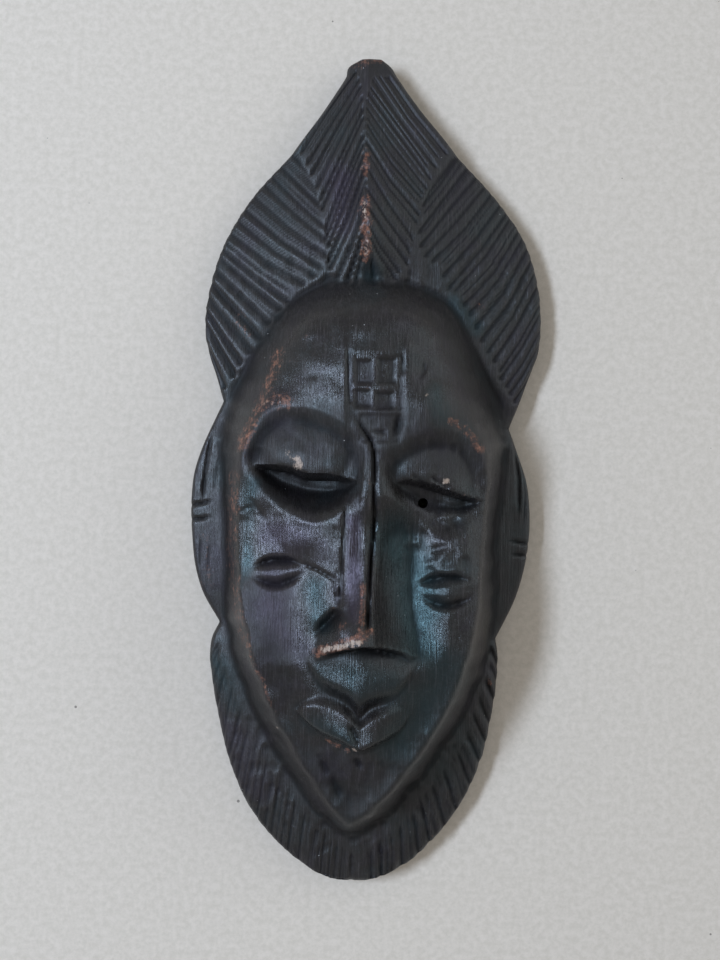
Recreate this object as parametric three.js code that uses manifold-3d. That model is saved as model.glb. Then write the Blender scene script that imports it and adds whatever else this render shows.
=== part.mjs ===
// A carved wooden face mask, lying on its back with the face up.
// It is one block of wood: a pointed comb of hair over a long face, two flat ears beside it and
// a short beard round the jaw. The back is flat, and hollowed out behind the face.
// Millimetres. +Z is up out of the face, +Y runs to the tip of the comb and +X to the right.
import * as THREE from 'three';
import { mergeVertices } from 'three/addons/utils/BufferGeometryUtils.js';
import Module from 'manifold-3d';

const wasm = await Module();
wasm.setup();

// Driving dimensions
const LENGTH = 240;
const TIP_Y = LENGTH / 2;
const BASE_Y = -LENGTH / 2;
const RIM_HEIGHT = 7.6;
const EDGE_RADIUS = 1.6;
const BOARD_HEIGHT = 5.6;
const BLANK_HEIGHT = 60;
const NOSE_HEIGHT = 10.2;
const HAIR_STEP = 1.2;
const PANEL_STEP = 0.35;
const HOLLOW = { x: -0.5, y: -22, halfWidth: 33, halfLength: 61, depth: 22 };
const EYE_HOLE = { x: 15.9, y: -8.8, radius: 1.4 };
const WOOD_COLOUR = 0x2b2522;

// Heights on the Y axis where the comb meets the ears and the ears meet the beard
const COMB_END = { left: 19.5, right: 13 };
const EAR_END = { left: -45, right: -48.5 };

// A smooth line through [place, value] knots
const curve = (...knots) => {
  const sorted = knots[0][0] > knots.at(-1)[0] ? [...knots].reverse() : knots;
  const place = sorted.map((knot) => knot[0]);
  const value = sorted.map((knot) => knot[1]);
  const last = place.length - 1;
  const slope = value.slice(1).map((v, i) => (v - value[i]) / (place[i + 1] - place[i]));
  const tangent = value.map((_, i) => {
    if (i === 0) return slope[0];
    if (i === last) return slope[last - 1];
    const before = place[i] - place[i - 1];
    const after = place[i + 1] - place[i];
    return (before * slope[i] + after * slope[i - 1]) / (before + after);
  });
  return (at) => {
    const t = Math.min(Math.max(at, place[0]), place[last]);
    let i = 0;
    while (i < last - 1 && t > place[i + 1]) i++;
    const span = place[i + 1] - place[i];
    const s = (t - place[i]) / span;
    return (1 + 2 * s) * (1 - s) ** 2 * value[i] + s * (1 - s) ** 2 * span * tangent[i]
      + s * s * (3 - 2 * s) * value[i + 1] + s * s * (s - 1) * span * tangent[i + 1];
  };
};

const clamp = (v, low = 0, high = 1) => Math.min(Math.max(v, low), high);
const mix = (a, b, t) => a + (b - a) * t;
const smooth = (from, to, v) => {
  const s = clamp((v - from) / (to - from));
  return s * s * (3 - 2 * s);
};
const bump = (v) => Math.max(1 - v * v, 0) ** 2;
const softMin = (a, b, k) => {
  const h = clamp(0.5 + 0.5 * (b - a) / k);
  return mix(b, a, h) - k * h * (1 - h);
};

// Points on a smooth loop or line through the given points
const through = (points, closed, steps) => {
  const pick = (i) => (closed
    ? points[(i + points.length) % points.length]
    : points[clamp(i, 0, points.length - 1)]);
  const spans = closed ? points.length : points.length - 1;
  const line = [];
  for (let i = 0; i < spans; i++) {
    const [a, b, c, d] = [pick(i - 1), pick(i), pick(i + 1), pick(i + 2)];
    for (let k = 0; k < steps; k++) {
      const s = k / steps;
      line.push([0, 1].map((n) => 0.5 * (2 * b[n] + (c[n] - a[n]) * s
        + (2 * a[n] - 5 * b[n] + 4 * c[n] - d[n]) * s * s
        + (3 * b[n] - a[n] - 3 * c[n] + d[n]) * s * s * s)));
    }
  }
  if (!closed) line.push(points.at(-1));
  return line;
};

const lengths = (line) => {
  const out = [0];
  for (let i = 1; i < line.length; i++) {
    out.push(out[i - 1] + Math.hypot(line[i][0] - line[i - 1][0], line[i][1] - line[i - 1][1]));
  }
  return out;
};

// Where a fraction t of a line's length falls: which span, and how far along that span. It runs on
// straight past either end.
const placeOn = (line, t) => {
  const run = lengths(line);
  const at = t * run.at(-1);
  let i = 0;
  while (i < line.length - 2 && at > run[i + 1]) i++;
  return { i, share: (at - run[i]) / (run[i + 1] - run[i]) };
};
const between = (a, b, share) => a.map((v, n) => mix(v, b[n], share));
const walk = (line, t) => {
  const { i, share } = placeOn(line, t);
  return between(line[i], line[i + 1], share);
};

// Distance to a line, the fraction of its length at the nearest point, and the side it is on
const nearest = (x, y, line) => {
  const run = lengths(line);
  let best = { distance: Infinity, along: 0, side: 0 };
  for (let i = 0; i < line.length - 1; i++) {
    const span = run[i + 1] - run[i];
    const ux = (line[i + 1][0] - line[i][0]) / span;
    const uy = (line[i + 1][1] - line[i][1]) / span;
    const dx = x - line[i][0];
    const dy = y - line[i][1];
    const t = clamp(dx * ux + dy * uy, 0, span);
    const distance = Math.hypot(dx - t * ux, dy - t * uy);
    if (distance < best.distance) {
      best = { distance, along: (run[i] + t) / run.at(-1), side: Math.sign(ux * dy - uy * dx) };
    }
  }
  return best;
};

const isInside = (x, y, loop) => loop.reduce((inside, a, i) => {
  const b = loop[(i + 1) % loop.length];
  const crosses = (a[1] > y) !== (b[1] > y) && x < (b[0] - a[0]) * (y - a[1]) / (b[1] - a[1]) + a[0];
  return crosses ? !inside : inside;
}, false);

// How far inside a closed loop a point lies, less than 0 outside it
const depthIn = (x, y, loop) => {
  const { distance } = nearest(x, y, [...loop, loop[0]]);
  return isInside(x, y, loop) ? distance : -distance;
};

// The depth of a knife cut with a V section along a line
const cutDepth = (x, y, cut) => {
  const { distance, along } = nearest(x, y, cut.line);
  const fadeIn = cut.fadeIn ? smooth(0, cut.fadeIn, along) : 1;
  const fadeOut = cut.fadeOut ? smooth(0, cut.fadeOut, 1 - along) : 1;
  return cut.depth * fadeIn * fadeOut * Math.max(1 - distance / (cut.width / 2), 0);
};
const cutAll = (x, y, cuts) => cuts.reduce((total, cut) => total + cutDepth(x, y, cut), 0);

// The outline, as the distance from the long axis at each height along it
const combLeft = curve(
  [120, -3.2], [118.8, -5.9], [115, -7.8], [107.9, -12.1], [93.7, -21.9], [79.5, -34.4],
  [65.3, -42.7], [51.2, -46.9], [41, -47.8], [33.7, -46.6], [26.8, -44.2], [19.5, -41.9]);
const combRight = curve(
  [120, 2.2], [118.8, 4.4], [115, 7.2], [108.3, 11.8], [94.5, 23.2], [80.8, 36.2],
  [68.7, 45], [57.7, 49], [44.3, 50.7], [36.1, 50.2], [24.9, 46.4], [13, 41.8]);
const earLeft = curve(
  [19.5, -41.9], [12.8, -45], [5.7, -48], [-1.3, -50.1], [-8.3, -50.8], [-20, -50.4],
  [-29.3, -49.2], [-36.3, -47], [-45, -41.9]);
const earRight = curve(
  [13, 41.8], [6.8, 44.1], [-2, 47.1], [-10.6, 48.3], [-20, 48.2], [-27, 47.2],
  [-36, 44.8], [-48.5, 39]);
const beardLeft = curve(
  [-45, -41.9], [-49.1, -43.9], [-54.6, -44.6], [-62, -43.8], [-74.7, -41.3], [-88.6, -37.3],
  [-100, -31.6], [-109.3, -23.8], [-115.5, -16], [-118.6, -10], [-119.7, -5.5], [-120, -2]);
const beardRight = curve(
  [-48.5, 39], [-53.1, 39.7], [-62, 39.5], [-72, 38.1], [-83.8, 35.5], [-97.9, 29.1],
  [-108, 21.4], [-115.7, 12.5], [-118.9, 5.6], [-119.8, 1.5], [-120, -1.5]);

const leftEdge = (y) => {
  if (y > COMB_END.left) return combLeft(y);
  return y > EAR_END.left ? earLeft(y) : beardLeft(y);
};
const rightEdge = (y) => {
  if (y > COMB_END.right) return combRight(y);
  return y > EAR_END.right ? earRight(y) : beardRight(y);
};

// How far in from the outline a point lies
const edgeDistance = (x, y) => Math.min(x - leftEdge(y), rightEdge(y) - x, TIP_Y - y, y - BASE_Y);

// The drop of the rounded edge near the outline
const edgeDrop = (x, y) => {
  const e = edgeDistance(x, y);
  const s = 1 - clamp(e / EDGE_RADIUS);
  return 0.8 * EDGE_RADIUS * (1 - Math.sqrt(1 - s * s)) + Math.max(-e, 0);
};

// Cuts that fan out are led by guide lines of three points each, from the outline inwards. This is
// the line a fraction t of the way across such a fan.
const fanLine = (fan, t) => {
  const { i, share } = placeOn(fan.guides.map((guide) => guide[1]), t);
  return fan.guides[i].map((point, n) => between(point, fan.guides[i + 1][n], share));
};
const fanCuts = (fan) => Array.from({ length: fan.count }, (_, i) => ({
  line: fanLine(fan, i / (fan.count - 1)), width: fan.width, depth: fan.depth,
  fadeIn: fan.fadeIn, fadeOut: fan.fadeOut }));
const steps = (from, to, count) => Array.from(
  { length: count + 1 }, (_, i) => mix(from, to, i / count));

// The comb: a ridge down the middle of a leaf-shaped panel, and a fan of hair on either side
const ridgeX = curve([120, -1.2], [90, -1.4], [66, -0.4], [52, 0.4]);
const ridgeHeight = curve(
  [120, 9], [112, 11.5], [95, 15], [80, 18.2], [66, 21.5], [60, 20.5], [50, 16]);
const panelLeft = curve(
  [119, -3], [105, -12.5], [91.9, -21], [82.8, -16.6], [72.9, -13.5], [62.9, -11.9], [52, -11.7]);
const panelRight = curve(
  [119, 3], [105, 14], [92.1, 23], [82, 17.2], [73.4, 13.9], [64.7, 11.8], [52, 10.4]);
const panelHeight = curve([119, 8.6], [100, 9.5], [92, 9.5], [80, 12.2], [65, 15], [55, 15.6]);

const hairline = through([
  [-60, 14], [-45, 19], [-41.4, 22.3], [-37.7, 27.6], [-34.4, 33.4], [-30.4, 38.6],
  [-26.8, 43.9], [-22.6, 48.8], [-18.3, 52.3], [-14.1, 54.7], [-11.8, 56.6], [-5, 53.5],
  [0.4, 52], [5.5, 53], [10.6, 55.3], [13.2, 54.1], [17.5, 53], [21.3, 51.3], [25.4, 47.7],
  [28.7, 41.7], [32.2, 34.8], [35.9, 28.3], [40, 22.3], [45, 16], [60, 8]], false, 3);
const underHair = [...hairline, [60, -12], [-60, -12]];

const fanLeft = {
  guides: [
    [[-21.4, 94.2], [-17.1, 89.7], [-14.2, 85.4]], [[-24.8, 90.8], [-18.9, 82.7], [-14, 77.6]],
    [[-29, 86], [-21.1, 76.1], [-12.4, 67.9]], [[-33.8, 80.4], [-23, 70.3], [-11.6, 61.6]],
    [[-37.2, 75.6], [-25.3, 65.1], [-12.6, 56.8]], [[-40.9, 69.8], [-28.6, 60.1], [-17, 53.6]],
    [[-44.2, 62.1], [-33.4, 52.5], [-24.2, 45.2]], [[-46.1, 56.4], [-37, 47], [-28.7, 38.4]],
    [[-47.4, 50.5], [-39.8, 41.2], [-33.3, 33.5]], [[-47.8, 43.5], [-42, 33.9], [-37.5, 27]],
    [[-47.4, 36.6], [-43.6, 28.7], [-41.2, 23]]],
  count: 17, width: 3.2, depth: 1.35, fadeOut: 0.05 };
const fanRight = {
  guides: [
    [[24.5, 93.3], [18.7, 86], [15.4, 81.6]], [[26.6, 91.8], [20, 81.2], [14, 73.4]],
    [[29.4, 89.2], [21.5, 78.3], [13.2, 65.8]], [[33, 85], [24.4, 74], [14.6, 62]],
    [[35.8, 82], [27.4, 69.8], [17.4, 59.4]], [[39.8, 77.2], [31.8, 65.5], [21.6, 52.4]],
    [[43, 73.4], [34.8, 59.8], [25, 49]], [[46.6, 66.6], [39.2, 52.7], [30.4, 41.4]],
    [[49.4, 58.6], [42.2, 44.1], [34.6, 32.6]], [[50.9, 49.6], [44.4, 37.5], [37.8, 27.6]],
    [[51, 40.4], [45.1, 29.8], [40.4, 22.8]], [[49.4, 31.7], [45.5, 24.6], [42.6, 19.8]]],
  count: 20, width: 2.6, depth: 0.95, fadeOut: 0.06 };
const chevronLeft = {
  guides: [
    [[-5.7, 114.7], [-12.1, 105.5], [-20, 92.4]], [[-4.2, 109.9], [-9.7, 99.2], [-17, 86.2]],
    [[-3.2, 102.8], [-8.4, 91.3], [-14.5, 78]], [[-3, 95.1], [-7.7, 84.1], [-12.8, 69.6]],
    [[-2.6, 88.5], [-7, 76.4], [-12.6, 61.7]], [[-1.9, 81.4], [-6, 69], [-11.4, 57.6]],
    [[-1.8, 74.8], [-4.8, 65.6], [-9.2, 55]], [[-1.4, 68], [-3.3, 61.4], [-6.5, 53]],
    [[-1, 62.3], [-2.4, 58.3], [-3.9, 52]]],
  count: 12, width: 2.3, depth: 1.25, fadeIn: 0.05, fadeOut: 0.1 };
const chevronRight = {
  guides: [
    [[5.5, 112.9], [12.2, 103], [21.8, 92]], [[1.5, 112.8], [9.1, 101.6], [19.2, 88.8]],
    [[-0.7, 105.7], [5.8, 97.2], [16, 84]], [[-0.5, 97.1], [5.9, 87.2], [14.6, 78]],
    [[-1, 91.4], [5.5, 81.5], [13.6, 72.4]], [[-0.9, 85.7], [5, 75.8], [12.2, 66.6]],
    [[-1, 78.6], [4, 70.9], [11.5, 61.8]], [[-0.9, 72.8], [3.5, 65.8], [10, 58.6]],
    [[-0.5, 65.7], [2.4, 60.6], [7, 54.6]], [[-0.1, 59.5], [1.4, 56.6], [3.3, 52]]],
  count: 12, width: 2.1, depth: 1.1, fadeIn: 0.05, fadeOut: 0.1 };

const fanCutsLeft = fanCuts(fanLeft);
const fanCutsRight = fanCuts(fanRight);
const panelCuts = [...fanCuts(chevronLeft), ...fanCuts(chevronRight)];

// The flat of the ears, which runs up to the temples
const earTop = (x, y) => {
  const inward = Math.min(x - leftEdge(y), rightEdge(y) - x);
  return RIM_HEIGHT + 2.4 * clamp(inward / 10, 0, 1.2);
};
// Below the hairline the comb runs on as a smooth band, lower by a step, down to the temples
const fanHeight = (x, y) => {
  const left = x < ridgeX(y);
  const out = Math.abs(x - ridgeX(y));
  const panel = Math.abs((left ? panelLeft(y) : panelRight(y)) - ridgeX(y));
  const full = Math.abs((left ? combLeft(y) : combRight(y)) - ridgeX(y));
  const q = clamp((out - panel) / Math.max(full - panel, 2));
  const hairTop = mix(panelHeight(y), RIM_HEIGHT, 0.75 * q + 0.25 * q ** 3);
  const step = HAIR_STEP * smooth(0, 7, edgeDistance(x, y));
  const band = mix(earTop(x, y), hairTop - step, smooth(6, 34, y));
  const under = depthIn(x, y, underHair);
  const cuts = smooth(2, 0.8, under) * cutAll(x, y, left ? fanCutsLeft : fanCutsRight);
  return band + step * smooth(2.2, -0.3, under) - edgeDrop(x, y) - cuts;
};
const panelTop = (x, y) => {
  const side = x < ridgeX(y) ? panelLeft(y) : panelRight(y);
  const s = clamp((x - ridgeX(y)) / (side - ridgeX(y)));
  const top = mix(ridgeHeight(y), panelHeight(y), s ** 0.9) + PANEL_STEP;
  return top - edgeDrop(x, y) - cutAll(x, y, panelCuts);
};

// The ears: flat lobes with a long cut beside the outline and two short ones across it
const earCuts = [
  [[-44.4, 13], [-46, 5], [-47.2, -5], [-47.4, -13]],
  [[-53, -11.4], [-43.2, -9.2]],
  [[-53, -15.4], [-43.4, -14]],
  [[43.2, 9], [44.9, -1.9], [45.1, -14]],
  [[50, -20.9], [40.9, -19.4]],
  [[50, -23.9], [41.6, -23.6]],
].map((line) => ({ line, width: 1.8, depth: 0.8, fadeOut: 0.3 }));
const earHeight = (x, y) => earTop(x, y) - edgeDrop(x, y) - cutAll(x, y, earCuts);

// The beard: a band of short strokes from the jaw out to the outline
const strokesLeft = {
  guides: [
    [[-44.6, -58], [-43, -53.6], [-41.2, -49.8]], [[-43.4, -67.5], [-42, -61.7], [-40.7, -55.8]],
    [[-40.3, -77.6], [-39, -68.9], [-37.4, -59.8]], [[-38.4, -85.4], [-36.5, -77.6], [-34.3, -68.8]],
    [[-35.7, -92.1], [-34.3, -84.8], [-32.2, -74.6]], [[-31.2, -99.9], [-29.6, -90.5], [-27.7, -80.3]],
    [[-26.4, -106.7], [-25.1, -97.7], [-23.6, -86.6]], [[-21.4, -111], [-20.1, -102], [-18.5, -91.8]],
    [[-16.6, -115.3], [-15.6, -107.1], [-14.3, -97.2]], [[-11.6, -118.4], [-10.9, -110.5], [-9.9, -102.4]],
    [[-6.7, -119.2], [-6.2, -113.3], [-5.7, -106.9]], [[-2.3, -119.4], [-2.1, -113.9], [-1.9, -108.9]]],
  count: 18, width: 2.1, depth: 0.8, fadeOut: 0.25 };
const strokesRight = {
  guides: [
    [[39.8, -56.4], [38.4, -52.6], [37, -49.4]], [[40, -63.1], [38.5, -59], [36.6, -55]],
    [[38.2, -74.7], [35.7, -69.5], [33.6, -63.8]], [[36.2, -80.6], [33.8, -76], [31.4, -70.8]],
    [[34.6, -86.4], [32.5, -80.9], [29.7, -75.8]], [[32.9, -91.1], [30.5, -85.3], [27.8, -79]],
    [[29.5, -94.4], [27.7, -88.6], [25.2, -82.8]], [[26.4, -99.4], [24.2, -92.7], [21.5, -86.4]],
    [[23.9, -103.8], [22.3, -97.7], [19.8, -90.2]], [[20.8, -108.5], [18.9, -100.1], [16.7, -92.6]],
    [[16.5, -112.1], [15.7, -104.2], [14.4, -97.6]], [[12.2, -115.9], [12, -107.8], [11, -100.2]],
    [[7.8, -118.3], [7.7, -111.6], [7, -104.7]], [[2.9, -119.3], [2.8, -114.3], [2.7, -109.1]]],
  count: 14, width: 2.3, depth: 1.2, fadeOut: 0.3 };
const beardCuts = [...fanCuts(strokesLeft), ...fanCuts(strokesRight)];
const beardHeight = (x, y) => {
  const inward = Math.min(x - leftEdge(y), rightEdge(y) - x, 0.9 * (y - BASE_Y));
  const top = RIM_HEIGHT + 4.6 * (1 - Math.exp(-clamp(inward, 0, 40) / 9));
  return top - edgeDrop(x, y) - cutAll(x, y, beardCuts);
};

// The face: a long bowed front with a wall that falls steeply from its edge
const faceEdge = through([
  [0, 50.5], [-7, 49], [-12.5, 46.8], [-17.5, 42.9], [-21.8, 38], [-25.2, 31.5], [-28.6, 20],
  [-31.6, 11.8], [-34.2, 3.5], [-35.5, -8], [-35.2, -20], [-33.4, -36.4], [-29.6, -51.5],
  [-23.2, -66.5], [-14.4, -81.5], [-6.4, -93], [-2, -96.8], [2.3, -94.1], [12.3, -81.8],
  [22.5, -65.1], [28.6, -49.5], [31.8, -34], [33, -19], [33.6, -3], [32.3, 6.5], [28.6, 13.5],
  [26, 20], [23.5, 27.5], [21, 34.5], [17.8, 41.5], [13.5, 46.5], [7, 49.5]], true, 3);
const frontHeight = curve(
  [56, 16.5], [51, 22.4], [46, 28], [41, 31.9], [34, 34.3], [24, 35.7], [8, 36.3], [0, 35.2],
  [-15, 33.6], [-35, 34], [-50, 35], [-65, 35], [-80, 33.6], [-92, 30.5], [-100, 27.5]);
const frontBow = curve(
  [50, 0.016], [35, 0.016], [22, 0.013], [8, 0.009], [-24, 0.0072], [-42, 0.0045],
  [-62, 0.0045], [-78, 0.008], [-96, 0.015]);
const faceAxis = curve([50, 0.5], [0, -0.8], [-60, -0.8], [-96, -2]);
const edgeSoftness = curve([55, 9], [35, 7], [15, 3.4], [0, 2.2], [-60, 1.8], [-96, 3]);
const wallSlope = curve([56, 1.25], [30, 1.25], [12, 1.6], [0, 2.15], [-100, 2.15]);

// Eyes: a socket between the brow and the cheek, a domed lid and a slit under it
const eyes = [{
  socket: through([
    [-33.5, 3.5], [-30.6, 11], [-25.5, 15.6], [-17, 16.2], [-11.3, 14.6], [-6.5, 12.3],
    [-3.2, 9.4], [-0.6, 5], [-1.4, 0], [-2.9, -4.4], [-6, -10.3], [-9.8, -13.2],
    [-13.6, -14.1], [-17.6, -13.3], [-21.8, -11.2], [-25.6, -8.5], [-29.4, -4.4],
    [-32.6, -0.5]], true, 3),
  lid: curve([-31, 0.8], [-24.8, 0.1], [-20.4, -0.6], [-16.6, -2], [-9.5, -2.3], [-2.4, -3.3]),
  slit: curve([-31, 0.4], [-25.4, -5.4], [-19.3, -8.8], [-13.8, -9.8], [-8.3, -8.9], [-2.4, -3.6]),
  brow: curve([-33.5, 5], [-29, 12.3], [-24, 15.6], [-16.7, 15.6], [-6.9, 12.5], [-1, 5.5]),
  from: -31, to: -2.4, upperDepth: 3.2, lowerDepth: 4, lift: 3.9, pit: 3.2,
}, {
  socket: through([
    [4, -2], [4.9, 2.8], [7.5, 5.9], [10.9, 8], [15.8, 9.9], [21.2, 10.6], [25.7, 9.4],
    [29.6, 6.4], [32, 2.2], [33.4, -3], [32.3, -8.2], [30.4, -12.8], [27.3, -16.7],
    [22.9, -18.3], [19.2, -17.2], [15.6, -14.6], [10.8, -11.4], [6.5, -8]], true, 3),
  lid: curve([8, -3], [12.9, -3.2], [16.2, -4], [21.7, -5.6], [27.2, -7.2], [32.5, -8]),
  slit: curve([8, -4], [11.5, -8.4], [14.2, -10.6], [19.2, -12.8], [24.7, -12.6], [32.9, -8.2]),
  brow: curve([5, 2.5], [7.7, 5.8], [15.8, 9.5], [21.2, 10.1], [29.3, 5.9], [32.5, 1]),
  from: 8, to: 32.8, upperDepth: 2.6, lowerDepth: 3.2, lift: 2.7, pit: 2.2,
}];
const eyeHeight = (x, y, eye) => {
  const inside = depthIn(x, y, eye.socket);
  const upper = smooth(-4, 4, y - eye.lid(x));
  const floor = -mix(
    eye.lowerDepth * smooth(-1, 5.5, inside), eye.upperDepth * smooth(-1, 4.4, inside), upper);
  if (inside <= 0) return floor;
  const across = Math.sin(Math.PI * clamp((x - eye.from) / (eye.to - eye.from))) ** 0.7;
  const above = (y - eye.lid(x)) / Math.max(eye.brow(x) - eye.lid(x), 1);
  const dome = y < eye.lid(x)
    ? smooth(-1.2, 0, y - eye.lid(x))
    : 0.5 + 0.5 * Math.cos(Math.PI * clamp((above - 0.05) / 0.95));
  const open = (y - eye.slit(x)) / Math.max(eye.lid(x) - eye.slit(x), 0.6);
  const slit = eye.pit * across * smooth(0, 0.6, open) * (1 - smooth(1, 1.2, open));
  return floor + eye.lift * across * dome * smooth(0, 3, inside) - slit;
};

// The nose: a narrow ridge with two sloping sides, undercut at its lower end
const noseX = curve([10, 1.2], [0, 1.6], [-8, 1.7], [-16, 1.8], [-26, 1.2], [-36, 0.9], [-44, 1]);
const noseRise = curve(
  [12, 0], [6, 0.05], [0, 0.17], [-8, 0.34], [-21, 0.56], [-34, 0.82], [-42, 1], [-46, 1.02]);
const noseFlat = curve([10, 1], [0, 2], [-8, 2.4], [-14, 2], [-21, 1.5], [-34, 1.3], [-44, 1.8]);
const noseLeft = curve(
  [10, 2.2], [0, 3.4], [-9.5, 6.2], [-24, 7], [-35, 7.4], [-40, 9.6], [-45, 13], [-50, 13.8]);
const noseRight = curve(
  [10, 2.6], [0, 4.6], [-8, 9.4], [-24, 11.4], [-36, 12.4], [-44, 13.4], [-50, 14.2]);
const noseUnder = [
  [-12.6, -49.6], [-9, -48.2], [-5, -46.9], [0, -45.8], [4.5, -46.4], [11, -48.4], [13, -49.6]];
const noseHeight = (x, y) => {
  const across = x - noseX(y);
  const base = across < 0 ? noseLeft(y) : noseRight(y);
  const s = clamp((Math.abs(across) - noseFlat(y)) / Math.max(base - noseFlat(y), 0.5));
  const section = (1 - s) * (1 - 0.16 * Math.sin(Math.PI * s));
  const under = nearest(x, y, noseUnder);
  const below = under.side < 0 ? under.distance : -under.distance;
  return NOSE_HEIGHT * noseRise(y) * section * smooth(2.6, -0.2, below);
};

// The mouth: a rounded upper lip over two lobes that meet in a V
const upperLipEdge = curve(
  [-15, -52], [-11, -58], [-6, -61], [-3.2, -62.6], [-0.9, -65.6], [2.2, -63.6], [5.6, -62],
  [9.2, -60.4], [12, -57.2], [14.5, -52.5]);
const lobeTop = curve(
  [-17.2, -65], [-13.3, -60.9], [-9.8, -60.3], [-5.8, -61.8], [-0.9, -66.6], [5.4, -62.6],
  [8.6, -61.9], [13.2, -65.2]);
const lobeBottom = curve(
  [-17.2, -65.6], [-13.1, -70.3], [-5.6, -73.7], [-0.7, -75.9], [4.6, -74.3], [10.9, -70.2],
  [13.2, -65.6]);
const mouthHeight = (x, y) => {
  const v = (y - upperLipEdge(x)) / Math.max(-46.5 - upperLipEdge(x), 1);
  const round = Math.max(1 - Math.abs((x + 0.2) / 15) ** 2.1, 0) ** 0.85;
  const upper = 3.6 * round * smooth(-0.06, 0.3, v) * smooth(1.7, 0.7, v);
  const w = clamp((y - lobeBottom(x)) / Math.max(lobeTop(x) - lobeBottom(x), 0.6)) ** 1.25;
  const lobe = 3.4 * (1 - Math.abs(2 * w - 1) ** 1.8);
  return upper + lobe * smooth(-19, -3.5, x) * smooth(15.5, 1.5, x);
};

// The trench that runs from the brow down between the eyes and along the ridge of the nose
const trenchWidth = curve(
  [16, 1.6], [7, 3.2], [0, 3.6], [-12, 3.4], [-25, 2.6], [-36, 2.2], [-43, 1.6]);
const trench = through([
  [-4.4, 16.6], [-2.3, 12.9], [-0.2, 9.8], [1.4, 7.2], [2.1, 3.8], [2.3, -0.1], [2.2, -6.6],
  [2.5, -12], [2.3, -16], [1.6, -26], [1.2, -34], [1.1, -43]], false, 2);
const trenchX = curve(...trench.map(([x, y]) => [y, x]));

// Hollows beside the mouth, the cheek scars, and the square and panel cut in the forehead
const jawTrough = through([
  [-29, -44], [-25, -56], [-19, -67], [-11.5, -80], [-3, -89], [6.5, -80.5], [15.5, -68],
  [22, -56], [26, -44]], false, 3);
const scars = [
  [[-31.4, -27.8], [-27.4, -25.7], [-23.8, -25], [-20, -25], [-15.8, -26.2]],
  [[-31.2, -29.4], [-27.2, -31.2], [-23.7, -31.7], [-19.8, -30.4], [-15.8, -27.4]],
  [[14, -31.4], [18.2, -29.6], [22.4, -28.8], [26, -28.9], [30, -29.8]],
  [[15, -33.6], [19.4, -36], [23.2, -36.4], [26.6, -35.6], [30.4, -33.2]],
].map((line) => ({ line, width: 4.8, depth: 1.8, fadeIn: 0.42, fadeOut: 0.42 }));
const squareCells = [
  { left: -3.1, right: 1.1, low: 22.9, high: 29.4 }, { left: 2.7, right: 7.4, low: 23.2, high: 30 },
  { left: -3.3, right: 0.8, low: 16.8, high: 21.4 }, { left: 2.4, right: 7, low: 16.2, high: 20.9 }];
const cellDepth = (x, y, cell) => smooth(cell.left - 0.2, cell.left + 0.6, x)
  * smooth(cell.right + 0.2, cell.right - 0.6, x)
  * smooth(cell.low - 0.2, cell.low + 0.6, y) * smooth(cell.high + 0.2, cell.high - 0.6, y);

const carvedHeight = (x, y) => {
  const trough = nearest(x, y, jawTrough);
  const hollow = 2.4 * bump(trough.distance / 9)
    * smooth(0, 0.22, trough.along) * smooth(1, 0.78, trough.along);
  const cheek = 3.8 * bump((x - 10) / 10.5) * smooth(-5, -16, y) * smooth(-54, -42, y);
  const band = 0.5 * smooth(-6.2, -4.6, x) * smooth(10.8, 9.2, x)
    * smooth(40, 33, y) * smooth(5, 9, y);
  const cells = squareCells.reduce((sum, cell) => sum + 0.9 * cellDepth(x, y, cell), 0);
  const { distance, side } = nearest(x, y, trench);
  const bank = trenchWidth(y) / 2 * (1 - 0.3 * side);
  const groove = 1.5 * clamp(1 - distance / bank) * smooth(18, 5, y) * smooth(-43.4, -40, y);
  return -hollow - cheek - band - cells - groove - cutAll(x, y, scars);
};

// The brow over the right eye, and the flat facet of the left cheek beside the nose
const cheekStart = curve([-8, -27], [-20, -24], [-26, -17.4], [-30, -16.6], [-44, -15.6]);
const swelling = (x, y) => {
  const brow = 1.8 * bump((x - 18) / 9.5) * bump((y - 17) / 11);
  const from = cheekStart(y);
  const facet = clamp((x - from) / (-6.2 - from)) * clamp(-x / 6.2)
    * smooth(-5, -12, y) * smooth(-47, -40, y);
  return brow + 3.2 * facet;
};

const faceHeight = (x, y) => {
  const front = frontHeight(y) - frontBow(y) * (x - faceAxis(y)) ** 2;
  const nose = noseHeight(x, y);
  const sockets = eyeHeight(x, y, eyes[0]) + eyeHeight(x, y, eyes[1]);
  const eyesAndNose = Math.max(sockets, sockets * smooth(0.5, 3, 3 - nose) + nose);
  const top = front + eyesAndNose + mouthHeight(x, y) + swelling(x, y) + carvedHeight(x, y);
  const wall = front + 1.2 + wallSlope(y) * depthIn(x, y, faceEdge);
  return softMin(top, wall, edgeSoftness(y));
};

// Each block ends at its own depth below the back, so that no two of their floors coincide
const FLOOR = {
  face: -1.5, fanLeft: -2, fanRight: -2.5, panel: -3, earLeft: -3.5, earRight: -4,
  beardLeft: -4.5, beardRight: -5 };

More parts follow.
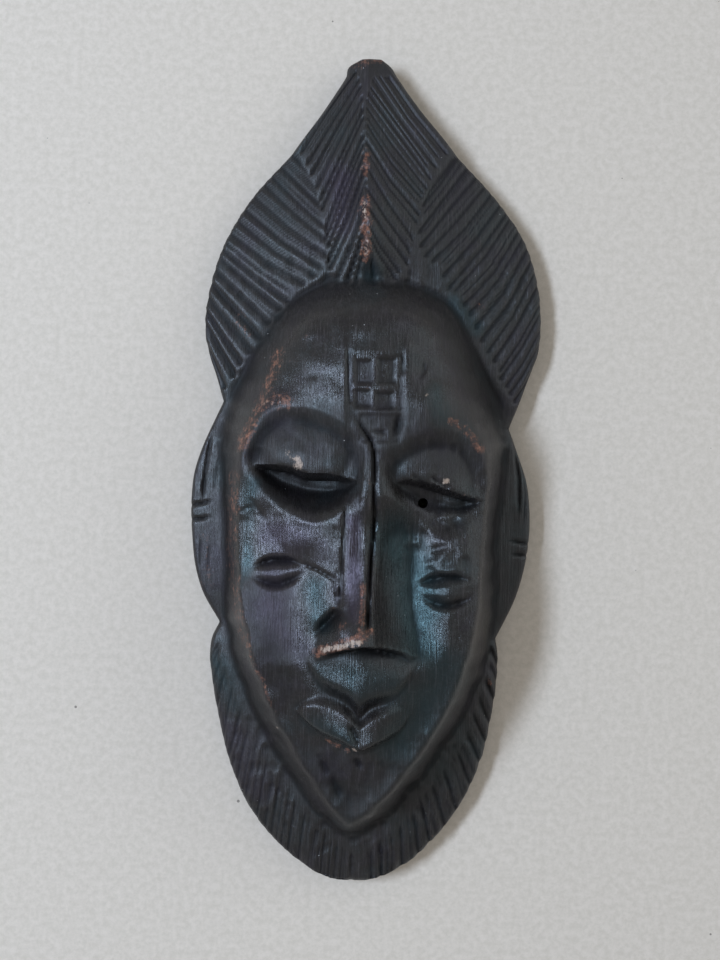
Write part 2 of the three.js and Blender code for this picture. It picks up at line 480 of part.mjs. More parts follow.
// A closed block under a grid of points, each at its own height, down to a flat floor. Rows that
// run clockwise are turned round, so that its faces look outwards.
const block = (rows, height, floor) => {
  const wide = rows[0].length;
  const [corner, beside, beyond] = [rows[0][0], rows[0][1], rows[1][0]];
  const turn = (beside[0] - corner[0]) * (beyond[1] - corner[1])
    - (beside[1] - corner[1]) * (beyond[0] - corner[0]);
  const grid = turn > 0 ? rows : rows.map((row) => [...row].reverse());
  const points = grid.flat();
  const position = [
    ...points.flatMap(([x, y]) => [x, y, Math.max(height(x, y), 1)]),
    ...points.flatMap(([x, y]) => [x, y, floor])];
  const index = [];
  const quad = (a, b, c, d) => index.push(a, b, c, a, c, d);
  const under = points.length;
  for (let j = 0; j < grid.length - 1; j++) {
    for (let i = 0; i < wide - 1; i++) {
      const a = j * wide + i;
      const c = a + wide;
      quad(a, a + 1, c + 1, c);
      quad(under + a, under + c, under + c + 1, under + a + 1);
    }
  }
  const last = (grid.length - 1) * wide;
  for (let i = 0; i < wide - 1; i++) {
    quad(i + 1, i, under + i, under + i + 1);
    quad(last + i, last + i + 1, under + last + i + 1, under + last + i);
  }
  for (let j = 0; j < grid.length - 1; j++) {
    const a = j * wide;
    const b = a + wide - 1;
    quad(a, a + wide, under + a + wide, under + a);
    quad(b + wide, b, under + b, under + b + wide);
  }
  return new wasm.Manifold(new wasm.Mesh({
    numProp: 3, vertProperties: new Float32Array(position), triVerts: new Uint32Array(index) }));
};

const solid = (shape) => {
  shape.deleteAttribute('normal');
  shape.deleteAttribute('uv');
  const merged = mergeVertices(shape, 1e-4);
  return new wasm.Manifold(new wasm.Mesh({
    numProp: 3,
    vertProperties: new Float32Array(merged.attributes.position.array),
    triVerts: new Uint32Array(merged.index.array) }));
};

// Rows of points along a fan's cuts and the crests between them, with plain rows past its ends
const fanRows = (fan, stations, before, after) => {
  const half = 0.5 / (fan.count - 1);
  const rows = steps(-half, 1 + half, 2 * fan.count).map((t) => fanLine(fan, t));
  return [...before, ...rows, ...after].map((line) => stations.map((w) => walk(line, w)));
};

const FAN_STATIONS = [-0.07, 0.05, 0.5, 0.92, 1.06, 1.45];
const combFans = [
  block(fanRows(fanLeft, FAN_STATIONS,
    [[[-19.2, 97.6], [-12.6, 88]]],
    [[[-46.8, 30], [-39.5, 19]], [[-44.8, 15.5], [-36, 11]]]), fanHeight, FLOOR.fanLeft),
  block(fanRows(fanRight, FAN_STATIONS,
    [[[22.4, 97.4], [14.2, 85.4]]],
    [[[47.8, 24], [40.5, 14]], [[45, 11], [37, 7]]]), fanHeight, FLOOR.fanRight)];

// The middle panel: each row runs from its left side up to the ridge and down to its right side
const PANEL_STATIONS = [0.1, 0.5, 0.9];
const panelRow = (left, middle, right) => [
  left.at(-1), ...[...PANEL_STATIONS].reverse().map((w) => walk(left, w)), middle,
  ...PANEL_STATIONS.map((w) => walk(right, w)), right.at(-1)];
const panelRows = () => {
  const rows = steps(0, 1, 2 * (chevronLeft.count - 1)).map((t) => {
    const [left, right] = [fanLine(chevronLeft, t), fanLine(chevronRight, t)];
    const y = (left[0][1] + right[0][1]) / 2;
    return panelRow(left, [ridgeX(y), y], right);
  });
  const above = [[-26, 97], [-1.2, TIP_Y + 5], [27, 97]];
  const below = [[-7, 47.6], [0.4, 47.6], [7, 47.6]];
  const capRow = ([a, b, c]) => panelRow([b, a], b, [b, c]);
  return [capRow(above), ...rows, capRow(below)];
};
const combPanel = block(panelRows(), panelTop, FLOOR.panel);

// The ears: rows across, with the points of a row at set distances in from the outline
const EAR_PLACES = [
  18, 12, 5, -4, -9, -10.4, -12.6, -14.7, -17.4, -20.2, -22.2, -24, -28, -36, -45, -52];
const EAR_DISTANCES = [-1.5, 0.6, 2, 5.5, 9, 14];
const earRows = (edge, inward) => EAR_PLACES.map(
  (y) => EAR_DISTANCES.map((distance) => [edge(y) + distance * inward, y]));
const ears = [
  block(earRows(earLeft, 1), earHeight, FLOOR.earLeft),
  block(earRows(earRight, -1), earHeight, FLOOR.earRight)];

const BEARD_STATIONS = [-0.14, 0.06, 0.5, 0.84, 1, 1.6];
const beards = [
  block(fanRows(strokesLeft, BEARD_STATIONS,
    [[[-46, -48], [-42, -41]], [[-46.2, -53], [-42.4, -45.6]]],
    [[[0.6, -121.5], [-0.6, -105]]]), beardHeight, FLOOR.beardLeft),
  block(fanRows(strokesRight, BEARD_STATIONS,
    [[[40.8, -47.6], [36.6, -42]], [[41.4, -52], [37.6, -45.6]]],
    [[[-3.4, -121.5], [-2.6, -104.5]]]), beardHeight, FLOOR.beardRight)];

// The face block: rows across it, with columns set at its edge, its nose and the forehead square
const faceSkirt = curve([56, 13], [20, 14.5], [12, 12.8], [4, 11], [-8, 10.3], [-100, 10.3]);
const ROW_BANDS = [
  [60.5, 33, 6], [33, 16, 8], [16, -20, 18], [-20, -44, 10], [-44, -50, 5], [-50, -78, 15],
  [-78, -106.6, 7]];
const COLUMNS_BESIDE_NOSE = 8;
const grow = (loop, distanceAt) => loop.map(([x, y], i) => {
  const a = loop.at(i - 1);
  const b = loop[(i + 1) % loop.length];
  const run = Math.hypot(b[0] - a[0], b[1] - a[1]);
  const distance = distanceAt(y);
  return [x - (b[1] - a[1]) / run * distance, y + (b[0] - a[0]) / run * distance];
});
const faceFoot = grow(faceEdge, (y) => -faceSkirt(y));
const crossings = (y, loop) => {
  const found = loop.flatMap((a, i) => {
    const b = loop[(i + 1) % loop.length];
    return (a[1] > y) === (b[1] > y) ? [] : [mix(a[0], b[0], (y - a[1]) / (b[1] - a[1]))];
  });
  return found.length ? [Math.min(...found), Math.max(...found)] : null;
};
const faceRow = (y) => {
  const [footLeft, footRight] = crossings(y, faceFoot);
  const middle = (footLeft + footRight) / 2;
  const edge = crossings(y, faceEdge) ?? [middle, middle];
  const left = Math.min(edge[0] + 1.2, mix(footLeft, middle, 0.8));
  const right = Math.max(edge[1] - 1.2, mix(footRight, middle, 0.8));
  const brow = smooth(9, 15, y);
  const narrow = clamp((right - left) / 40);
  const inner = [
    mix(noseX(y) - noseLeft(y), -5.4, brow), mix(noseX(y) - noseFlat(y), -3.2, brow),
    mix(trenchX(y), 1, brow), mix(noseX(y) + noseFlat(y), 2.6, brow),
    mix(noseX(y) + noseRight(y), 7.2, brow),
  ].map((x) => mix((left + right) / 2, x, narrow));
  const places = [
    footLeft, mix(footLeft, left, 0.5), mix(footLeft, left, 0.84),
    ...steps(left, inner[0], COLUMNS_BESIDE_NOSE),
    (inner[0] + inner[1]) / 2, inner[1], inner[2], inner[3], (inner[3] + inner[4]) / 2,
    ...steps(inner[4], right, COLUMNS_BESIDE_NOSE),
    mix(footRight, right, 0.84), mix(footRight, right, 0.5), footRight];
  return places.map((x) => [x, y]);
};
const banded = (bands) => [...new Set(bands.flatMap((band) => steps(...band)))];
const face = block(banded(ROW_BANDS).map(faceRow), faceHeight, FLOOR.face);

// Everything outside the outline and below the flat back is cut away
const edgePlaces = (combEnd, earEnd) => banded([
  [TIP_Y, 115, 4], [115, combEnd, 26], [combEnd, earEnd, 14], [earEnd, -112, 17],
  [-112, -119, 5], [-119, BASE_Y, 2]]);
const outline = new THREE.Shape([
  ...edgePlaces(COMB_END.left, EAR_END.left).map((y) => new THREE.Vector2(leftEdge(y), y)),
  ...edgePlaces(COMB_END.right, EAR_END.right).reverse().map(
    (y) => new THREE.Vector2(rightEdge(y), y))]);
const blank = solid(new THREE.ExtrudeGeometry(outline, { depth: BLANK_HEIGHT, bevelEnabled: false }));
const board = solid(new THREE.BoxGeometry(LENGTH, 1.1 * LENGTH, 2 * BOARD_HEIGHT));

// The hollow behind the face, a bowl with a long oval mouth, and the hole through one eye
const BELOW_BACK = -2;
const bowlProfile = [
  [0, BELOW_BACK], [1, BELOW_BACK],
  ...steps(1, 0, 7).map((r) => [r, HOLLOW.depth * (1 - r ** 3.5) ** 0.6]),
].map(([r, z]) => new THREE.Vector2(r, z));
const hollow = solid(new THREE.LatheGeometry(bowlProfile, 28)
  .rotateX(Math.PI / 2)
  .scale(HOLLOW.halfWidth, HOLLOW.halfLength, 1)
  .translate(HOLLOW.x, HOLLOW.y, 0));
const eyeHole = solid(new THREE.CylinderGeometry(
  EYE_HOLE.radius, EYE_HOLE.radius, BLANK_HEIGHT, 10)
  .rotateX(Math.PI / 2)
  .translate(EYE_HOLE.x, EYE_HOLE.y, BLANK_HEIGHT / 2));

const carving = [face, ...combFans, ...ears, ...beards].reduce(
  (joined, piece) => joined.add(piece), combPanel);
const wood = carving.add(board).intersect(blank).subtract(hollow).subtract(eyeHole).getMesh();

const geometry = new THREE.BufferGeometry();
geometry.setAttribute('position', new THREE.BufferAttribute(
  new Float32Array(wood.vertProperties), 3));
geometry.setIndex(new THREE.BufferAttribute(new Uint32Array(wood.triVerts), 1));
geometry.computeVertexNormals();

const mask = new THREE.Mesh(geometry, new THREE.MeshStandardMaterial({
  color: WOOD_COLOUR, roughness: 0.45, metalness: 0 }));
mask.name = 'mask';

const group = new THREE.Group();
group.add(mask);
export default group;
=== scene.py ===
"""A carved wooden face mask on a pale table, in window light.

The whole mask is one block of dark stained wood. Its front is a fine sheet of points set at the
height of the carving, the way a carver goes from the blocked-out form to the last knife cuts.
The sheet is closed to a block, and the hollow and the hole in one eye are then cut out of it.
Lengths are in millimetres until the mesh is scaled at the end.
"""
import math

import bmesh
import bpy
import numpy as np
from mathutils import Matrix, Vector


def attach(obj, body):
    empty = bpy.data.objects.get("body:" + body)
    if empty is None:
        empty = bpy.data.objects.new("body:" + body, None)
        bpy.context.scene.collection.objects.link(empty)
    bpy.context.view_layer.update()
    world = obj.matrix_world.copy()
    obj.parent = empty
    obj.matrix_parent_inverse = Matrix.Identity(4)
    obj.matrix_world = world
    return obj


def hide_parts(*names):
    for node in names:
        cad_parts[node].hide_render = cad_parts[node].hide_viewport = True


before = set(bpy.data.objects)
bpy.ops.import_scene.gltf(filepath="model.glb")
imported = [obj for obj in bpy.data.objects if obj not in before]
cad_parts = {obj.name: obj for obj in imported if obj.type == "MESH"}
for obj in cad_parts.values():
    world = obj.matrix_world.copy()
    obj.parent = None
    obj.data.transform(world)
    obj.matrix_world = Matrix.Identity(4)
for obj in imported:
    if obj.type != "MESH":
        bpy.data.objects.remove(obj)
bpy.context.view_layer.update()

MM = 0.001
hand = np.random.default_rng(11)  # the carver's unevenness, the same each run


# Camera and light
def linear(colour):
    """A #rrggbb colour as the linear values that Blender's sockets take"""
    parts = [int(colour[i:i + 2], 16) / 255 for i in (1, 3, 5)]
    return [p / 12.92 if p <= 0.04045 else ((p + 0.055) / 1.055) ** 2.4 for p in parts] + [1.0]


scene = bpy.context.scene
scene.view_settings.view_transform = "Standard"


def add_object(name, data):
    made = bpy.data.objects.new(name, data)
    scene.collection.objects.link(made)
    return made


# Straight above the mask and turned by a degree, as the photo was taken
camera_data = bpy.data.cameras.new("camera")
camera_data.sensor_width, camera_data.lens = 36.0, 41.41
camera = add_object("camera", camera_data)
camera.location = Vector((-1.54, -2.775, 330)) * MM
camera.rotation_euler = (0, 0, math.radians(1.05))
scene.camera = camera


def window(name, azimuth, elevation, distance, across, high, power, colour):
    """A soft area light that looks at the mask. Azimuth runs from +X towards +Y."""
    light = bpy.data.lights.new(name, "AREA")
    light.shape = "RECTANGLE"
    light.size, light.size_y = across, high
    light.energy = power
    light.color = linear(colour)[:3]
    lamp = add_object(name, light)
    a, e = math.radians(azimuth), math.radians(elevation)
    lamp.location = distance * Vector((math.cos(e) * math.cos(a), math.cos(e) * math.sin(a),
                                       math.sin(e)))
    lamp.rotation_euler = lamp.location.to_track_quat("Z", "Y").to_euler()


window("window", azimuth=170, elevation=51, distance=1.2, across=0.48, high=0.17, power=13.6,
       colour="#cfe4ff")
window("room_side", azimuth=22, elevation=24, distance=1.6, across=1.6, high=0.8, power=6.4,
       colour="#dcebf4")

world = bpy.data.worlds.new("room")
scene.world = world
world.use_nodes = True
room = world.node_tree.nodes["Background"]
room.inputs["Color"].default_value = linear("#f3f5f6")
room.inputs["Strength"].default_value = 0.41


# Lines and smooth changes
def curve(*knots):
    """A smooth line through (place, value) knots"""
    place, value = np.array(sorted(knots), float).T
    span = np.diff(place)
    slope = np.diff(value) / span
    tangent = np.r_[slope[0], (span[:-1] * slope[1:] + span[1:] * slope[:-1])
                    / (span[:-1] + span[1:]), slope[-1]]

    def at(x):
        x = np.clip(x, place[0], place[-1])
        i = np.clip(np.searchsorted(place, x) - 1, 0, len(span) - 1)
        s = (x - place[i]) / span[i]
        return ((1 + 2 * s) * (1 - s) ** 2 * value[i] + s * (1 - s) ** 2 * span[i] * tangent[i]
                + s * s * (3 - 2 * s) * value[i + 1]
                + s * s * (s - 1) * span[i] * tangent[i + 1])
    return at


def smooth(start, end, v):
    """0 at start and 1 at end, with a smooth change between them"""
    s = np.clip((v - start) / (end - start), 0, 1)
    return s * s * (3 - 2 * s)


def mix(a, b, t):
    return a + (b - a) * t


def bump(v):
    """1 at 0, falling smoothly to 0 at -1 and 1"""
    return np.clip(1 - v * v, 0, None) ** 2


def soft_max(a, b, reach):
    """The higher of two surfaces, with a rounded inner corner where they cross"""
    h = np.clip(0.5 + 0.5 * (a - b) / reach, 0, 1)
    return mix(b, a, h) + reach * h * (1 - h)


def through(points, closed=False, steps=4):
    """Points on a smooth line through the given ones"""
    p = np.array(points, float)
    spans = len(p) if closed else len(p) - 1
    line = []
    for i in range(spans):
        a, b, c, d = ((p[j % len(p)] if closed else p[np.clip(j, 0, len(p) - 1)])
                      for j in (i - 1, i, i + 1, i + 2))
        for s in np.arange(steps) / steps:
            line.append(0.5 * (2 * b + (c - a) * s + (2 * a - 5 * b + 4 * c - d) * s * s
                               + (3 * b - a - 3 * c + d) * s ** 3))
    return np.array(line if closed else line + [p[-1]])


def run_of(line):
    """The length along a line up to each of its points"""
    return np.r_[0, np.cumsum(np.hypot(*np.diff(line, axis=0).T))]


def nearest(x, y, line):
    """Distance to a line, the fraction of its length there, and 1 on its left or -1 on its right"""
    run = run_of(line)
    best = np.full(np.shape(x), 1e9)
    place, side = np.zeros(np.shape(x)), np.zeros(np.shape(x))
    for i, (start, end) in enumerate(zip(line[:-1], line[1:])):
        span = run[i + 1] - run[i]
        ux, uy = (end - start) / span
        dx, dy = x - start[0], y - start[1]
        t = np.clip(dx * ux + dy * uy, 0, span)
        distance = np.hypot(dx - t * ux, dy - t * uy)
        near = distance < best
        best = np.where(near, distance, best)
        place = np.where(near, run[i] + t, place)
        side = np.where(near, np.sign(ux * dy - uy * dx), side)
    return best, place / run[-1], side


def depth_in(x, y, loop):
    """How far inside a closed loop a point lies, less than 0 outside it"""
    inside = np.zeros(np.shape(x), bool)
    for (ax, ay), (bx, by) in zip(loop, np.roll(loop, -1, axis=0)):
        if ay != by:
            inside ^= ((ay > y) != (by > y)) & (x < (bx - ax) * (y - ay) / (by - ay) + ax)
    distance = nearest(x, y, np.vstack([loop, loop[:1]]))[0]
    return np.where(inside, distance, -distance)


def close_to(x, y, line, margin):
    """Which points lie in the box round a line, widened by a margin"""
    low, high = line.min(0) - margin, line.max(0) + margin
    return (x > low[0]) & (x < high[0]) & (y > low[1]) & (y < high[1])


def cut(line, width, depth, fade_in=0.15, fade_out=0.15, lean=0.0):
    """A knife cut with a V section, shallower and narrower where it fades at its ends. Its left
    bank is the steeper one where lean is above 0."""
    return {"line": np.array(line, float), "width": width, "depth": depth,
            "fade_in": fade_in, "fade_out": fade_out, "lean": lean}


def cut_depth(x, y, cuts):
    """What a set of cuts takes off at each point, as a mean over four places close around it"""
    taken = np.zeros(np.shape(x))
    for aside, along in ((0.15, 0.06), (-0.06, 0.15), (-0.15, -0.06), (0.06, -0.15)):
        here = np.zeros(np.shape(x))
        for c in cuts:
            near = close_to(x, y, c["line"], c["width"])
            if not near.any():
                continue
            distance, place, side = nearest(x[near] + aside, y[near] + along, c["line"])
            fade = np.ones(len(place))
            if c["fade_in"]:
                fade = smooth(0, c["fade_in"], place)
            if c["fade_out"]:
                fade = fade * smooth(0, c["fade_out"], 1 - place)
            bank = c["width"] / 2 * (1 - c["lean"] * side) * mix(0.3, 1, fade)
            here[near] = np.maximum(
                here[near], c["depth"] * fade * np.clip(1 - distance / bank, 0, 1))
        taken += here / 4
    return taken


def fan(guides, count, width, depth, lean, fade_out, unevenness):
    """Knife cuts side by side, each led by the two guide lines nearest to it, as uneven as a hand
    makes them. Each guide has three points, and a cut starts a little before its first one. Width
    and depth are one value, or the first and the last cut's."""
    guides = np.array(guides, float)
    widths, depths = (np.linspace(*np.broadcast_to(v, 2), count) for v in (width, depth))
    run = run_of(guides[:, 1])
    cuts = []
    for i in range(count):
        place = run[-1] * np.clip((i + hand.uniform(-1, 1) * unevenness) / (count - 1), 0, 1)
        k = min(int(np.searchsorted(run, place, "right")) - 1, len(run) - 2)
        start, middle, end = mix(guides[k], guides[k + 1],
                                 (place - run[k]) / (run[k + 1] - run[k]))
        middle = middle + hand.normal(0, 0.12, 2)
        end = end + (end - middle) * hand.uniform(-0.05, 0.05)
        cuts.append(cut([start + (start - middle) * 0.12, middle, end],
                        widths[i] * hand.uniform(0.88, 1.12),
                        depths[i] * hand.uniform(0.75, 1.15),
                        0, fade_out, lean))
    return cuts


# The outline, seen from the front
LENGTH = 240
RIM_HEIGHT = 7.6
EDGE_RADIUS = 1.6
# Where the comb meets the ears and the ears meet the beard
COMB_END = {"left": 19.5, "right": 13}
EAR_END = {"left": -45, "right": -48.5}

comb_left = curve((120, -3.2), (118.8, -5.9), (115, -7.8), (107.9, -12.1), (93.7, -21.9),
                  (79.5, -34.4), (65.3, -42.7), (51.2, -46.9), (41, -47.8), (33.7, -46.6),
                  (26.8, -44.2), (19.5, -41.9))
comb_right = curve((120, 2.2), (118.8, 4.4), (115, 7.2), (108.3, 11.8), (94.5, 23.2),
                   (80.8, 36.2), (68.7, 45), (57.7, 49), (44.3, 50.7), (36.1, 50.2),
                   (24.9, 46.4), (13, 41.8))
ear_left = curve((19.5, -41.9), (12.8, -45), (5.7, -48), (-1.3, -50.1), (-8.3, -50.8),
                 (-20, -50.4), (-29.3, -49.2), (-36.3, -47), (-45, -41.9))
ear_right = curve((13, 41.8), (6.8, 44.1), (-2, 47.1), (-10.6, 48.3), (-20, 48.2), (-27, 47.2),
                  (-36, 44.8), (-48.5, 39))
beard_left = curve((-45, -41.9), (-49.1, -43.9), (-54.6, -44.6), (-62, -43.8), (-74.7, -41.3),
                   (-88.6, -37.3), (-100, -31.6), (-109.3, -23.8), (-115.5, -16),
                   (-118.6, -10), (-119.7, -5.5), (-120, -2))
beard_right = curve((-48.5, 39), (-53.1, 39.7), (-62, 39.5), (-72, 38.1), (-83.8, 35.5),
                    (-97.9, 29.1), (-108, 21.4), (-115.7, 12.5), (-118.9, 5.6), (-119.8, 1.5),
                    (-120, -1.5))


def left_edge(y):
    return np.where(y > COMB_END["left"], comb_left(y),
                    np.where(y > EAR_END["left"], ear_left(y), beard_left(y)))


def right_edge(y):
    return np.where(y > COMB_END["right"], comb_right(y),
                    np.where(y > EAR_END["right"], ear_right(y), beard_right(y)))


def edge_distance(x, y):
    return np.minimum.reduce([x - left_edge(y), right_edge(y) - x, LENGTH / 2 - y,
                              y + LENGTH / 2])


def edge_drop(x, y):
    """What the rounded edge takes off the front"""
    s = 1 - np.clip(edge_distance(x, y) / EDGE_RADIUS, 0, 1)
    return 0.8 * EDGE_RADIUS * (1 - np.sqrt(1 - s * s))


# The comb: a leaf-shaped panel with a ridge, between two fans of hair
HAIR_STEP = 1.2  # how far the hair stands above the band below it
ridge_x = curve((120, -1.2), (90, -1.4), (66, -0.4), (52, 0.4))
ridge_height = curve((120, 9), (112, 11.5), (95, 15), (80, 18.2), (66, 21.5), (60, 20.5), (50, 16))
panel_left = curve((119, -3), (105, -12.5), (91.9, -21), (82.8, -16.6), (72.9, -13.5),
                   (62.9, -11.9), (52, -11.7))
panel_right = curve((119, 3), (105, 14), (92.1, 23), (82, 17.2), (73.4, 13.9), (64.7, 11.8),
                    (52, 10.4))
panel_height = curve((119, 8.6), (100, 9.5), (92, 9.5), (80, 12.2), (65, 15), (55, 15.6))

hairline = through([
    (-60, 14), (-45, 19), (-41.4, 22.3), (-37.7, 27.6), (-34.4, 33.4), (-30.4, 38.6),
    (-26.8, 43.9), (-22.6, 48.8), (-18.3, 52.3), (-14.1, 54.7), (-11.8, 56.6), (-5, 53.5),
    (0.4, 52), (5.5, 53), (10.6, 55.3), (13.2, 54.1), (17.5, 53), (21.3, 51.3), (25.4, 47.7),
    (28.7, 41.7), (32.2, 34.8), (35.9, 28.3), (40, 22.3), (45, 16), (60, 8)])
under_hair = np.vstack([hairline, [(60, -12), (-60, -12)]])

hair_guides_left = [
    [(-19.7, 92.5), (-17.1, 89.7), (-14.2, 85.4)], [(-24.2, 88.1), (-18.9, 82.7), (-14, 77.6)],
    [(-28.5, 83.7), (-21.1, 76.1), (-12.4, 67.9)], [(-33.3, 79.6), (-23, 70.3), (-11.6, 61.6)],
    [(-36.7, 75.2), (-25.3, 65.1), (-12.6, 56.8)], [(-40.3, 69.4), (-28.6, 60.1), (-17, 53.6)],
    [(-42.7, 60.7), (-33.4, 52.5), (-24.2, 45.2)], [(-45.2, 55.5), (-37, 47), (-28.7, 38.4)],
    [(-46.3, 49.1), (-39.8, 41.2), (-33.3, 33.5)], [(-46.7, 41.9), (-42, 33.9), (-37.5, 27)],
    [(-46.6, 35.3), (-43.6, 28.7), (-41.2, 23)]]
hair_guides_right = [
    [(21.8, 89.8), (18.7, 86), (15.4, 81.6)], [(26, 91), (20, 81.2), (14, 73.4)],
    [(29, 88.7), (21.5, 78.3), (13.2, 65.8)], [(33, 85), (24.4, 74), (14.6, 62)],
    [(35.6, 81.8), (27.4, 69.8), (17.4, 59.4)], [(39.6, 77), (31.8, 65.5), (21.6, 52.4)],
    [(42.4, 72.7), (34.8, 59.8), (25, 49)], [(46.2, 66), (39.2, 52.7), (30.4, 41.4)],
    [(49, 58), (42.2, 44.1), (34.6, 32.6)], [(50.4, 48.8), (44.4, 37.5), (37.8, 27.6)],
    [(50.8, 40.2), (45.1, 29.8), (40.4, 22.8)], [(49.2, 31.5), (45.5, 24.6), (42.6, 19.8)]]
panel_guides_left = [
    [(-5.7, 114.7), (-12.1, 105.5), (-20, 92.4)], [(-4.2, 109.9), (-9.7, 99.2), (-17, 86.2)],
    [(-3.2, 102.8), (-8.4, 91.3), (-14.5, 78)], [(-3, 95.1), (-7.7, 84.1), (-12.8, 69.6)],
    [(-2.6, 88.5), (-7, 76.4), (-12.6, 61.7)], [(-1.9, 81.4), (-6, 69), (-11.4, 57.6)],
    [(-1.8, 74.8), (-4.8, 65.6), (-9.2, 55)], [(-1.4, 68), (-3.3, 61.4), (-6.5, 53)],
    [(-1, 62.3), (-2.4, 58.3), (-3.9, 52)]]
panel_guides_right = [
    [(5.5, 112.9), (12.2, 103), (21.8, 92)], [(1.5, 112.8), (9.1, 101.6), (19.2, 88.8)],
    [(-0.7, 105.7), (5.8, 97.2), (16, 84)], [(-0.5, 97.1), (5.9, 87.2), (14.6, 78)],
    [(-1, 91.4), (5.5, 81.5), (13.6, 72.4)], [(-0.9, 85.7), (5, 75.8), (12.2, 66.6)],
    [(-1, 78.6), (4, 70.9), (11.5, 61.8)], [(-0.9, 72.8), (3.5, 65.8), (10, 58.6)],
    [(-0.5, 65.7), (2.4, 60.6), (7, 54.6)], [(-0.1, 59.5), (1.4, 56.6), (3.3, 52)]]
ridge_end = cut([(0.1, 62.5), (1, 56.5), (1.8, 51.5)], 6.0, 2.6, 0.6, 0.1, 0.5)
# Each set has its main cuts and then finer ones, where the knife only scored the wood. The
# values are the number of cuts, width, depth, lean, fading at the end and unevenness.
hair_cuts_left = (fan(hair_guides_left, 17, (2.2, 3.2), (0.5, 1.25), 0.4, 0.05, 0.25)
                  + fan(hair_guides_left, 44, 1.0, (0.5, 0.3), 0, 0.2, 0.45))
hair_cuts_right = (fan(hair_guides_right, 20, (2, 2.6), (0.6, 0.9), -0.3, 0.06, 0.3)
                   + fan(hair_guides_right, 52, 1.0, 0.45, 0, 0.2, 0.45))
panel_cuts = (fan(panel_guides_left, 14, 1.8, (0.8, 1.2), 0.4, 0, 0.25)
              + fan(panel_guides_left, 34, 0.9, 0.4, 0, 0.1, 0.45)
              + fan(panel_guides_right, 14, (1.5, 2), (0.6, 1), -0.35, 0, 0.3)
              + fan(panel_guides_right, 40, 0.9, 0.5, 0, 0.1, 0.45) + [ridge_end])


def comb_surface(x, y, temple):
    """Height of the comb. Below the hairline it runs on as a smooth band, down to the temple."""
    left = x < ridge_x(y)
    out = np.abs(x - ridge_x(y))
    panel = np.abs(np.where(left, panel_left(y), panel_right(y)) - ridge_x(y))
    full = np.abs(np.where(left, comb_left(y), comb_right(y)) - ridge_x(y))
    s = np.clip(out / panel, 0, 1)
    middle = mix(ridge_height(y), panel_height(y), s ** 0.9) + 0.2
    q = np.clip((out - panel) / np.maximum(full - panel, 2), 0, 1)
    sides = mix(panel_height(y), RIM_HEIGHT, 0.75 * q + 0.25 * q ** 3)
    on_panel = smooth(0.5, -0.3, out - panel)
    hair_top = mix(sides, middle, on_panel)
    step = HAIR_STEP * smooth(0, 7, edge_distance(x, y))
    band = mix(temple, hair_top - step, smooth(6, 34, y))
    under = depth_in(x, y, under_hair)
    cuts = smooth(2, 0.8, under) * mix(
        np.where(left, cut_depth(x, y, hair_cuts_left), cut_depth(x, y, hair_cuts_right)),
        cut_depth(x, y, panel_cuts), on_panel)
    return band + step * smooth(2.2, -0.3, under) - cuts, cuts


# The ears and the beard. Each ear has long shallow cuts and two short notches in its rim.
ear_cuts = [
    cut([(-44.4, 13), (-46, 5), (-47.2, -5), (-47.4, -13)], 1.8, 0.7, 0.3, 0.3, -0.3),
    cut([(-40.8, 12), (-43.2, 0), (-44.4, -9)], 1.3, 0.3, 0.3, 0.3),
    cut([(-53, -11.4), (-43.2, -9.2)], 1.5, 0.8, 0, 0.4, 0.3),
    cut([(-53, -15.4), (-43.4, -14)], 1.5, 0.8, 0, 0.4, 0.3),
    cut([(-45, -21), (-45.6, -32)], 1.2, 0.3, 0.3, 0.3),
    cut([(-47.4, -19), (-48, -31)], 1.2, 0.3, 0.3, 0.3),
    cut([(43.2, 9), (44.9, -1.9), (45.1, -14)], 1.8, 0.7, 0.3, 0.3, 0.3),
    cut([(45.9, 2), (46.8, -6), (46.4, -17)], 1.3, 0.4, 0.3, 0.3),
    cut([(50, -20.9), (40.9, -19.4)], 1.5, 0.8, 0, 0.4),
    cut([(50, -23.9), (41.6, -23.6)], 1.5, 0.8, 0, 0.4)]


def ear_surface(x, y):
    """Height of the ears, a little higher towards the face"""
    inward = np.minimum(x - left_edge(y), right_edge(y) - x)
    cuts = cut_depth(x, y, ear_cuts)
    return RIM_HEIGHT + 2.4 * np.clip(inward / 10, 0, 1.2) - cuts, cuts


